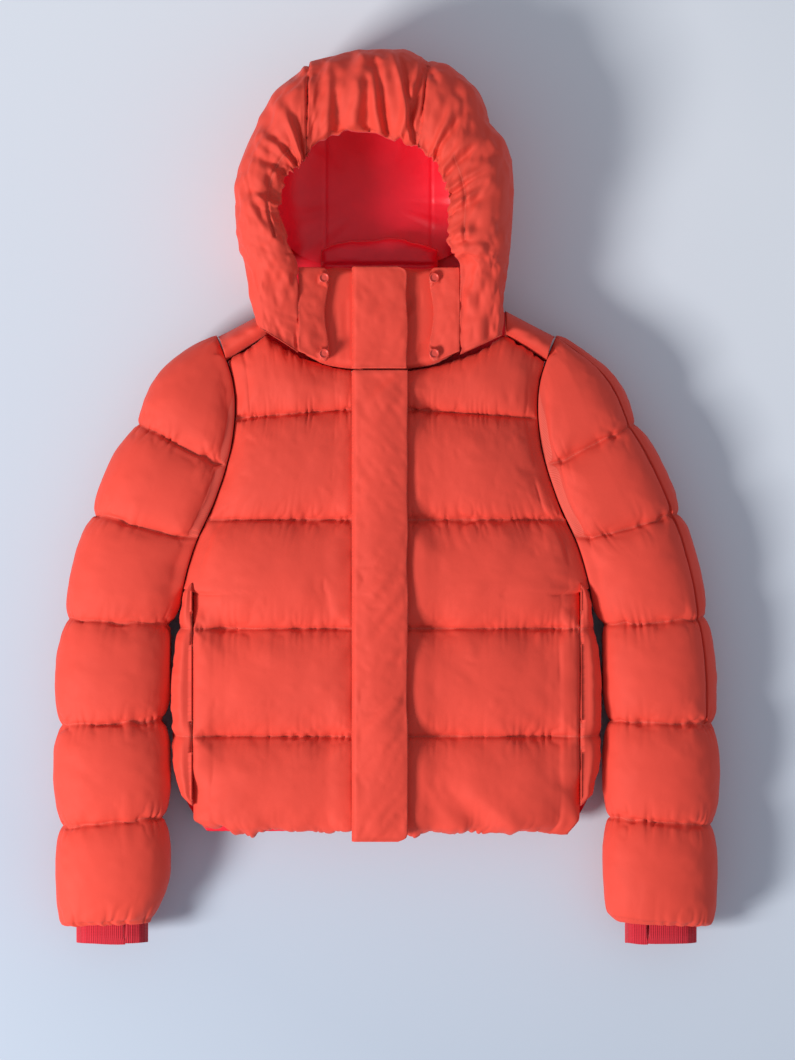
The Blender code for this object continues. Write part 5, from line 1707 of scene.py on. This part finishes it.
@dataclass
class Hood:
    """The padded hood: a gathered strip round the face, in three panels."""

    wardrobe: Wardrobe
    rim_z: float = 0.1170
    crest_z: float = 0.1300
    wall_z: float = 0.0480
    middle_x: float = -0.0125
    per_rib: int = 8
    across: int = 30

    def knots(self) -> tuple[Array, Array, Array]:
        """Evenly spaced ribs along the strip: rim point, outer point and rib number."""
        count = len(HOOD_RIBS)
        number = np.linspace(0, count - 1, (count - 1) * self.per_rib + 1)
        ribs = curve_at(np.arange(count), HOOD_RIBS, number)
        return ribs[:, :2], ribs[:, 2:], number

    def outside(self) -> tuple[Array, Array]:
        """Start of the outer cloth, and where it is stitched.

        Along a rib, the plan runs from the rim to the outer edge, and the
        height is an arc: from the rim up to a crest, and down to the side.

        Returns:
            Points, ribs by places along the rib by 3, and the stitched mask.
        """
        rim, outer, number = self.knots()
        t = np.linspace(0, 1, self.across)[None, :, None]
        ends = np.minimum(number, number[-1] - number)
        foot = smooth(0.9, 3.0, ends)[:, None]
        plan = rim[:, None] + (outer - rim)[:, None] * np.sin(t * np.pi / 2) ** 1.15
        s = t[..., 0]
        neck_rim, neck_wall = 0.0985, 0.0800
        rim_z = neck_rim + (self.rim_z - neck_rim) * smooth(1.2, 3.2, ends)[:, None]
        crest = 0.1020 + (self.crest_z - 0.1020) * smooth(0.5, 3.4, ends)[:, None]
        wall = neck_wall + (self.wall_z - neck_wall) * foot
        z = rim_z + (crest - rim_z) * np.sin(np.clip(s / 0.36, 0, 1) * np.pi / 2)
        drop = np.clip((s - 0.36) / 0.64, 0, 1)
        z = z - (crest - wall) * (1 - np.sqrt(1 - np.minimum(drop, 1) ** 2.4))
        sway = 0.0030 * noise(number[:, None] * 1.3 + 0 * s, s * 1.2, 111)
        z = z + sway * np.sin(np.pi * s)
        grid = np.concatenate([plan, z[..., None]], -1)
        pinned = np.zeros(grid.shape[:2], bool)
        pinned[:, [0, -1]] = True
        pinned[[0, -1]] = True
        for seam in (LEFT_SEAM, RIGHT_SEAM):
            line = seam * self.per_rib
            pinned[line] = True
            grid[line, 1:-1, 2] -= 0.004 * np.sin(np.pi * np.linspace(0, 1, self.across))[1:-1]
        channel = 6
        sides = ((number > 3.2) & (number < 7.6)) | ((number > 16.6) & (number < 20.6))
        pinned[sides, channel] = True
        grid[sides, channel, 2] -= 0.002
        gather = 0.0022 * noise(number * 3.4, number * 0, 113) + 0.0016 * noise(number * 7.0, number * 0, 115)
        gather = gather * smooth(2.4, 3.6, ends)
        grid[:, 0, 2] += gather
        pull = (outer - rim) / np.linalg.norm(outer - rim, axis=1, keepdims=True)
        shift = 0.0024 * noise(number * 4.2, number * 0, 117) * smooth(2.4, 3.6, ends)
        grid[:, 0, :2] += pull * shift[:, None]
        return grid, pinned

    def build(self) -> None:
        """Sews and swells the strip, then builds its panels, neck band and lining."""
        start, pinned = self.outside()
        number = self.knots()[2]
        ends = np.minimum(number, number[-1] - number)
        s = np.linspace(0, 1, self.across)[None]
        near_rim = np.exp(-s / 0.22) * smooth(2.2, 3.6, ends)[:, None]
        slack = 0.22 * near_rim + 0.02
        loft = Loft(cap=0.020, crumple=0.0030, bending=1.5)
        top = swell(start[::-1], pinned[::-1], loft, 119, slack=slack[::-1])[::-1]
        crown, spare = 0.1395, 0.002
        above = np.tanh((top[..., 2] - crown) / spare)
        top[..., 2] = np.minimum(top[..., 2], crown + spare * above)
        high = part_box("centre_hood_panel")[1]
        top[..., 1] = np.minimum(top[..., 1], high.y + 0.002)
        neck = (ends < NECK_RIBS + 0.3)[:, None]
        top[..., 2] = np.where(neck, np.maximum(top[..., 2], 0.0802), top[..., 2])
        seams = [LEFT_SEAM * self.per_rib, RIGHT_SEAM * self.per_rib]
        fine, gap = refined(top, pinned, seams)
        turned_over = fine[::-1]
        last = len(fine) - 1
        turned_over = puckered(turned_over, [last - 2 * m for m in seams], 0, 121, depth=0.0022)
        turned_over = puckered(turned_over, [0], 1, 123, depth=0.0034, reach=0.016, pitch=0.008)
        fine = turned_over[::-1]
        fine = self.folded(fine)
        self.panels(fine, gap)
        self.neck_band()
        self.lining()

    def folded(self, top: Array) -> Array:
        """Adds the large folds that fan out from the rim.

        A fold is a ridge beside a valley along one line of the strip: its
        height is the ridge's bell curve across the line less the valley's,
        and it dies away towards the outer edge.

        Args:
            top: Outer cloth, ribs by places.

        Returns:
            The folded cloth.
        """
        rib = np.linspace(0, len(HOOD_RIBS) - 1, len(top))[:, None]
        s = np.linspace(0, 1, top.shape[1])[None]
        lift = np.zeros(top.shape[:2])
        for at, lean, reach, width, height in BROW_FOLDS:
            line = rib - at - lean * s
            fade = np.exp(-((s / reach) ** 2)) * smooth(0.0, 0.05, s)
            lift = lift + height * fade * (
                np.exp(-((line / width) ** 2)) - 0.9 * np.exp(-(((line - width * 1.3) / (width * 0.8)) ** 2))
            )
        folded = top.copy()
        folded[..., 2] = np.minimum(top[..., 2] + lift, 0.1412)
        return folded

    def panels(self, top: Array, gap: Array) -> None:
        """Builds the three panels: the swollen outside, the underside and the inside.

        Under the outer edge each rib rounds down to the floor and runs in to a
        line below the middle of the hood. The inside follows the same way
        back at a wall's depth.

        Args:
            top: Finished outer cloth, ribs by places.
            gap: Distance to the nearest stitch.
        """
        step = 2 * self.per_rib
        first, last = round(NECK_RIBS * step), len(top) - 1 - round(NECK_RIBS * step)
        gaps, body, gap = gap, top[first : last + 1], gap[first : last + 1]
        count = len(body)
        share = np.linspace(0, 1, count)
        level = 0.2060 + (0.352 - 0.2060) * np.minimum(share, 1 - share) * 2
        middle = np.stack([np.full(count, self.middle_x), level], 1)
        edge = body[:, -1]
        t = np.linspace(0, 1, 26)[None, :]
        swing = np.clip(t / 0.22, 0, 1)
        inward = np.clip((t - 0.04) / 0.96, 0, 1) ** 1.1
        plan = edge[:, None, :2] + (middle - edge[:, :2])[:, None] * inward[..., None]
        z = 0.0008 + (edge[:, None, 2] - 0.0008) * (1 - np.sin(swing * np.pi / 2)) ** 1.3
        under = np.concatenate([plan, (z + 0 * plan[..., 0])[..., None]], -1)
        rim = body[:, 0]
        deep = self.middle_x + (edge[:, 0] - self.middle_x) * 0.83
        deep_y = middle[:, 1] + (edge[:, 1] - middle[:, 1]) * 0.83
        lip = np.minimum(0.1060, rim[:, 2] - 0.009)
        floor_x = deep * 0.8 + middle[:, 0] * 0.2
        floor_y = deep_y * 0.8 + middle[:, 1] * 0.2
        bowl = np.full(count, 0.0212)
        stops = np.stack(
            [
                rim,
                np.stack([rim[:, 0] * 0.9 + deep * 0.1, rim[:, 1] * 0.9 + deep_y * 0.1, lip], 1),
                np.stack([deep, deep_y, np.full(count, 0.0860)], 1),
                np.stack([deep, deep_y, np.full(count, 0.0360)], 1),
                np.stack([floor_x, floor_y, bowl], 1),
                np.stack([middle[:, 0], middle[:, 1], bowl], 1),
            ],
            axis=0,
        )
        inside = curve_at(np.linspace(0, 1, 6), stops.reshape(6, -1), np.linspace(0, 1, 30))
        inside = inside.reshape(30, count, 3).transpose(1, 0, 2)
        cuts = [0, round((LEFT_SEAM - NECK_RIBS) * step), round((RIGHT_SEAM - NECK_RIBS) * step), count - 1]
        names = ("left_hood_panel", "centre_hood_panel", "right_hood_panel")
        for name, low, high in zip(names, cuts, cuts[1:]):
            span = slice(low, high + 1)
            skin = Skin(f"{name}_cloth")
            nodes = [name]
            if name.startswith("centre"):
                nodes.append("hood_rim_elastic")
                skin.add(body[span], stitch=gap[span], flip=True)
            else:
                whole = slice(0, high + first + 1) if low == 0 else slice(low + first, len(top))
                skin.add(top[whole], stitch=gaps[whole], flip=True)
                self.neck(skin, top[:first + 1] if low == 0 else top[last:], low == 0)
                nodes.append(f"{name.split('_')[0]}_hood_neck")
            skin.add(under[span], flip=True).add(inside[span], finish=1)
            for k in (low, high):
                outer = np.concatenate([body[k], under[k, 1:]])
                if k in (0, count - 1):
                    outer = outer - np.array([0.0, 0.0, 0.0006])
                place = np.linspace(0, 1, len(inside[k]))
                ring = curve_at(place, inside[k], np.linspace(0, 1, len(outer)))
                skin.add(np.stack([outer, ring]))
            piece = skin.build(self.wardrobe.shell, self.wardrobe.lining, outward=False, weld=1e-6)
            self.tilted(piece)
            fitted(piece, "", nodes)

    def tilted(self, piece: bpy.types.Object) -> None:
        """Bakes a piece's transform into its points.

        Args:
            piece: The piece, already built.
        """
        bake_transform(piece)

    def neck(self, skin: Skin, pad: Array, first: bool) -> None:
        """Closes a lower corner of the hood, which lies over the shoulder, from below.

        Args:
            skin: Side panel that the corner belongs to.
            pad: The corner's outer cloth, ribs by places.
            first: Whether it is the corner at the strip's start.
        """
        under = pad.copy()
        under[..., 2] = np.minimum(0.0842, pad[..., 2])
        for edge in (np.s_[:, 0], np.s_[:, -1]):
            under[edge] = pad[edge]
        skin.add(under)
        foot = 0 if first else -1
        skin.add(np.stack([pad[foot], under[foot]]), flip=first)

    def neck_band(self) -> None:
        """Builds the band across the back of the neck, under the hood."""
        low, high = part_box("hood_back_neck")
        t = np.linspace(0, 1, 60)[None]
        s = np.linspace(0, 1, 24)[:, None]
        x = low.x + 0.004 + (high.x - low.x - 0.008) * t
        y = low.y + (high.y - low.y) * s
        edge = np.clip(np.minimum(np.minimum(s, 1 - s) / 0.2, np.minimum(t, 1 - t) / 0.06), 0, 1)
        z = low.z + 0.0215
        top_z = z - 0.006 * (1 - np.sqrt(edge * (2 - edge)))
        grid = np.stack([x + 0 * s, y + 0 * t, top_z + 0 * x], -1)
        skin = Skin("hood_back_neck_band").add(grid, finish=0)
        base = grid.copy()
        base[..., 2] = 0.0030
        skin.add(base, flip=True)
        for k in (np.s_[0], np.s_[-1], np.s_[:, 0], np.s_[:, -1]):
            skin.add(np.stack([grid[k], base[k]]))
        piece = skin.build(self.wardrobe.lining)
        self.tilted(piece)
        fitted(piece, "", ["hood_back_neck"])

    def lining(self) -> None:
        """Builds the satin lining: a bowl, flat below and rising to its walls.

        A point at share r of the way out rises with the tenth power of r, and
        soft folds run up the walls.
        """
        low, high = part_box("hood_lining")
        angle = np.linspace(0, 2 * np.pi, 200, endpoint=False)[None]
        r = np.linspace(0.0, 1.0, 70)[:, None]
        c, s = np.cos(angle), np.sin(angle)
        half = (high.x - low.x) / 2 - 0.002
        centre_x, centre_y = (low.x + high.x) / 2, 0.315
        up, down = high.y - centre_y - 0.003, centre_y - low.y - 0.001
        x = centre_x + half * r * np.sign(c) * np.abs(c) ** 0.8
        y = centre_y + np.where(s > 0, up, down) * r * np.sign(s) * np.abs(s) ** 0.8
        fold = 0.0022 * noise(angle * 5 + 0 * r, r * 2 + 0 * angle, 131) * smooth(0.2, 0.7, r)
        rise = (high.z - low.z - 0.012) * r**9 * smooth(-0.80, -0.30, s)
        z = low.z + 0.0008 + 0.003 * r**2 + rise + fold * 0.7 + 0.0016
        wall = 1 - 0.020 * noise(angle * 7, angle * 0, 133) * r**6
        x = centre_x + (x - centre_x) * wall
        crease = np.exp(-((np.abs(x - centre_x - 0.004) - 0.056) ** 2) / 0.0012**2)
        z = z - 0.0012 * crease * (r < 0.9)
        grid = np.stack([x, y, z], -1)
        stitch = np.abs(np.abs(x - centre_x - 0.004) - 0.056)
        skin = Skin("hood_lining_satin").add(grid, closed=True, stitch=stitch)
        piece = skin.build(self.wardrobe.lining, outward=False)
        self.tilted(piece)
        fitted(piece, "", ["hood_lining"])


@dataclass
class HoodTab:
    """Front corner of the hood that snaps to the collar."""

    side: Side
    wardrobe: Wardrobe

    def build(self) -> bpy.types.Object:
        """Sews and swells the corner from its fold to its wavy free edge."""
        label, sign = self.side.label, self.side.value
        low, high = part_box(f"{label}_hood_tab")
        hinge = low.x if sign < 0 else high.x
        free = high.x if sign < 0 else low.x
        rows, cols = 34, 15
        s = np.linspace(0, 1, rows)[:, None]
        t = np.linspace(0, 1, cols)[None]
        dip = 0.0045 * np.sin(np.pi * np.clip(s * 1.15 - 0.1, 0, 1)) ** 2
        x_free = free + sign * dip + sign * 0.0004
        x = hinge + (x_free - hinge) * t
        y_low = low.y + 0.0125 * (1 - t) + 0.006 * np.clip((t - 0.8) / 0.2, 0, 1) ** 2
        y_high = high.y + 0.0010 - 0.006 * np.clip((t - 0.8) / 0.2, 0, 1) ** 2
        y = y_low + (y_high - y_low) * s
        z = 0.0985 - 0.0065 * t**1.5 + 0 * x
        start = np.stack([x, y, z], -1)
        if sign > 0:
            start = start[:, ::-1]
        pinned = np.zeros((rows, cols), bool)
        pinned[[0, -1]] = True
        pinned[:, [0, -1]] = True
        for name in ("upper", "lower"):
            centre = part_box(f"{label}_{name}_snap_cap")
            mid = (centre[0] + centre[1]) / 2
            near = np.hypot(start[..., 0] - mid.x, start[..., 1] - mid.y) < 0.0062
            start[near, 2] = high.z - 0.0006
            pinned |= near
        loft = Loft(cap=0.0060, spare=0.02, seam_spare=0.03, pressure=6.0, crumple=0.0008)
        top = swell(start, pinned, loft, 141 + sign)
        top[..., 2] = np.minimum(top[..., 2], high.z + 0.004)
        fine, gap = refined(top, pinned)
        skin = pad_of(f"{label}_tab_pad", fine, gap, low.z + 0.0003)
        piece = skin.build(self.wardrobe.shell)
        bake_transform(piece)
        return fitted(piece, "", [f"{label}_hood_tab"])


# --- Zips and snaps -----------------------------------------------------------------------


def turned(profile: Sequence, centre: Array, sides: int = 48) -> Array:
    """Turns a profile round a vertical line.

    Args:
        profile: (radius, height) points.
        centre: Where height 0 meets the line.
        sides: Points round the line.

    Returns:
        A grid of points, one row for each point of the profile.
    """
    angle = np.linspace(0, 2 * np.pi, sides, endpoint=False)[None]
    p = np.asarray(profile, float)
    x = centre[0] + p[:, :1] * np.cos(angle)
    y = centre[1] + p[:, :1] * np.sin(angle)
    return np.stack([x, y, centre[2] + p[:, 1:] + 0 * angle], -1)


@dataclass
class Snaps:
    """Snap caps on the hood's corners."""

    wardrobe: Wardrobe

    def build(self) -> None:
        """Builds each cap: a rolled rim round a dished centre, on its shank."""
        for side in Side:
            for place in ("upper", "lower"):
                node = f"{side.label}_{place}_snap_cap"
                low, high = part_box(node)
                radius = (high.x - low.x) / 2
                seat = high.z - 0.0026
                centre = np.array([(low.x + high.x) / 2, (low.y + high.y) / 2, seat])
                rim = np.linspace(np.pi, 0, 9)
                roll = [(radius * 0.86 + radius * 0.14 * np.cos(a), 0.0014 + 0.0012 * np.sin(a)) for a in rim]
                profile = [(0.00001, 0.0012), (radius * 0.35, 0.0012), (radius * 0.62, 0.0010), *roll]
                profile += [(radius, 0.0004), (radius * 0.97, 0.0), (0.0021, 0.0)]
                profile += [(0.0021, -0.0090), (0.00001, -0.0090)]
                skin = Skin(f"{node}_disc").add(turned(profile, centre), closed=True)
                piece = skin.build(self.wardrobe.snap)
                fitted(piece, f"{side.label}_tab", [node])


@dataclass
class FrontZip:
    """Tapes and teeth of the front zip."""

    wardrobe: Wardrobe
    pitch: float = 0.0026

    def build(self) -> None:
        """Builds both tapes, each with a row of moulded teeth.

        A tooth is a small box with a waist, copied at each pitch by adding an
        offset along Y to all its points at once.
        """
        for side in Side:
            low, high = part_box(f"{side.label}_zip_tape")
            sign = side.value
            middle = (low.z + high.z) / 2
            inner = high.x if sign < 0 else low.x
            outer = low.x if sign < 0 else high.x
            edge = inner + sign * 0.0010
            y = np.linspace(low.y, high.y, 200)[:, None]
            t = np.linspace(0, 1, 10)[None]
            x = edge + (outer - edge) * t
            z = middle + 0.0001 * noise(x / 0.004, y / 0.01, 151) + 0.0002 * np.exp(-np.abs(t - 0.5) / 0.05)
            skin = Skin(f"{side.label}_zip_tape_weave").add(np.stack([x + 0 * y, y + 0 * t, z], -1))
            tape = skin.build(self.wardrobe.tape, outward=False)
            wall = tape.modifiers.new("Wall", "SOLIDIFY")
            wall.thickness, wall.offset = 0.0010, 0.0
            fitted(tape, "coat", [f"{side.label}_zip_tape"])
            start = low.y + 0.003 + (self.pitch / 2 if sign > 0 else 0.0)
            places = np.arange(start, high.y - 0.002, self.pitch)
            angle = np.linspace(0, 2 * np.pi, 6, endpoint=False)
            ring = np.stack([0.0008 * np.cos(angle), 0.0013 * np.sin(angle)], 1)
            across = np.array([(-0.0001, 1.0), (0.0006, 1.0), (0.0014, 0.72), (0.0026, 0.85), (0.0028, 0.5)])
            tooth = np.stack(
                [
                    np.broadcast_to(inner + sign * across[:, :1], (5, 6)),
                    ring[None, :, 0] * across[:, 1:],
                    middle + ring[None, :, 1] * across[:, 1:],
                ],
                -1,
            )
            every = tooth[None] + places[:, None, None, None] * np.array([0.0, 1.0, 0.0])
            faces = quads(5, 6, True)
            caps = np.array([[0, 1, 2, 3], [0, 3, 4, 5], [27, 26, 25, 24], [29, 28, 27, 24]])
            one = np.concatenate([faces, caps])
            whole = (one[None] + 30 * np.arange(len(places))[:, None, None]).reshape(-1, 4)
            mesh = bpy.data.meshes.new(f"{side.label}_zip_teeth")
            mesh.from_pydata(every.reshape(-1, 3).tolist(), [], whole.tolist())
            mesh.uv_layers.new(name="cloth")
            work = bmesh.new()
            work.from_mesh(mesh)
            bmesh.ops.recalc_face_normals(work, faces=work.faces)
            work.to_mesh(mesh)
            work.free()
            mesh.materials.append(self.wardrobe.metal)
            teeth = bpy.data.objects.new(mesh.name, mesh)
            bpy.context.scene.collection.objects.link(teeth)
            fitted(teeth, "coat")
            log.info("%s: %d teeth", teeth.name, len(places))


class PackedParts:
    """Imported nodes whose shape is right: they stay, in better finishes."""

    def __init__(self, wardrobe: Wardrobe) -> None:
        """Keeps the finishes by slot.

        Args:
            wardrobe: Every material of the jacket.
        """
        self.by_slot = {
            "zip_hardware": wardrobe.metal,
            "snap_cap": wardrobe.snap,
            "zip_tape": wardrobe.tape,
            "cuff_knit": wardrobe.knit,
            "lining_cloth": wardrobe.lining,
            "shell_cloth": wardrobe.shell,
        }

    def dress(self) -> None:
        """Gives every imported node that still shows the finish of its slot."""
        for name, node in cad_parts.items():
            if node.hide_render:
                continue
            slot = node.data.materials[0].name.split(".")[0] if node.data.materials else "zip_hardware"
            finish = self.by_slot.get(slot, self.by_slot["zip_hardware"])
            node.data.materials.clear()
            node.data.materials.append(finish)
            log.info("%s keeps its packed shape in %s", name, slot)


# --- Stage --------------------------------------------------------------------------------


@dataclass
class Studio:
    """Pale floor, soft daylight from the lower left, and a camera straight above."""

    centre: tuple[float, float] = (0.01155, -0.0336)
    height: float = 3.5
    shown: float = 1.113
    subject_z: float = 0.05

    def floor(self) -> None:
        """Lays a pale blue floor, painted lighter towards the upper right and darker towards the lower left
        as painted light and shade, with a faint mottle.
        """
        g = Graph("floor")
        place = g.add("SeparateXYZ", in_0=g.place()).outputs
        # painted light and shade: the floor's colour runs from light at the upper right to darker at the
        # lower left
        slope = g.math("ADD", g.math("MULTIPLY", place[0], -0.50), g.math("MULTIPLY", place[1], -0.85))
        mottle = g.math("MULTIPLY", g.math("SUBTRACT", g.noise(1.2, 2.0), 0.5), 0.10)
        factor = g.math("ADD", g.math("ADD", slope, 0.5), mottle)
        colour = g.ramp(factor, (0.0, (0.80, 0.835, 0.90)), (1.0, (0.52, 0.585, 0.69)))
        g.set(Base_Color=colour, Roughness=0.9, Specular_IOR_Level=0.1)
        size = 6.0
        share = np.linspace(-size, size, 9)
        x, y = np.meshgrid(share, share)
        skin = Skin("floor").add(np.stack([x, y, np.full_like(x, -0.0004)], -1))
        plane = skin.build(g.material, outward=False)

    def lights(self) -> None:
        """Hangs one large soft light, a weak fill and a pale sky."""
        for name, spot, size, power, colour in (
            ("key", (-2.60, -1.45, 2.15), 1.0, 136.0, (1.0, 0.985, 0.96)),
            ("fill", (1.6, -0.6, 2.4), 3.0, 6.0, (0.86, 0.92, 1.0)),
        ):
            data = bpy.data.lights.new(name, "AREA")
            data.size, data.energy, data.color = size, power, colour
            lamp = bpy.data.objects.new(name, data)
            lamp.location = spot
            aim = Vector((self.centre[0], self.centre[1], 0.0)) - Vector(spot)
            lamp.rotation_euler = aim.to_track_quat("-Z", "Y").to_euler()
            bpy.context.scene.collection.objects.link(lamp)
        world = bpy.data.worlds.new("studio")
        world.use_nodes = True
        sky = world.node_tree.nodes["Background"]
        sky.inputs["Color"].default_value = (0.84, 0.90, 1.0, 1.0)
        sky.inputs["Strength"].default_value = 0.38
        bpy.context.scene.world = world
        bpy.context.scene.view_settings.view_transform = "Standard"

    def camera(self) -> None:
        """Hangs the camera so that the frame's long side shows the right length."""
        data = bpy.data.cameras.new("camera")
        data.sensor_width = 36.0
        data.lens = 18.0 * (self.height - self.subject_z) / (self.shown / 2)
        data.clip_end = 50.0
        seen = bpy.data.objects.new("camera", data)
        seen.location = (*self.centre, self.height)
        bpy.context.scene.collection.objects.link(seen)
        bpy.context.scene.camera = seen

    def build(self) -> None:
        """Sets the whole stage."""
        self.floor()
        self.lights()
        self.camera()


def main() -> None:
    """Builds the jacket piece by piece and then its stage."""
    logging.basicConfig(level=logging.INFO, format="%(message)s")
    wardrobe = Wardrobe()
    BackPanel(wardrobe).build()
    BodyLinings(wardrobe).build()
    for side in Side:
        FrontPanel(side, wardrobe).build()
        SidePanel(side, wardrobe).build()
        ShoulderYoke(side, wardrobe).build()
        CollarFront(side, wardrobe).build()
        Sleeve(side, wardrobe).build()
        StormCuff(side, wardrobe).build()
        HoodTab(side, wardrobe).build()
    CollarBack(wardrobe).build()
    ZipGuard(wardrobe).build()
    StormFlap(wardrobe, "body_storm_flap", 0.0, 0.010, 161).build()
    StormFlap(wardrobe, "collar_storm_flap", 0.010, 0.0, 163).build()
    Hood(wardrobe).build()
    Snaps(wardrobe).build()
    FrontZip(wardrobe).build()
    PackedParts(wardrobe).dress()
    Studio().build()


if __name__ == "__main__":
    main()
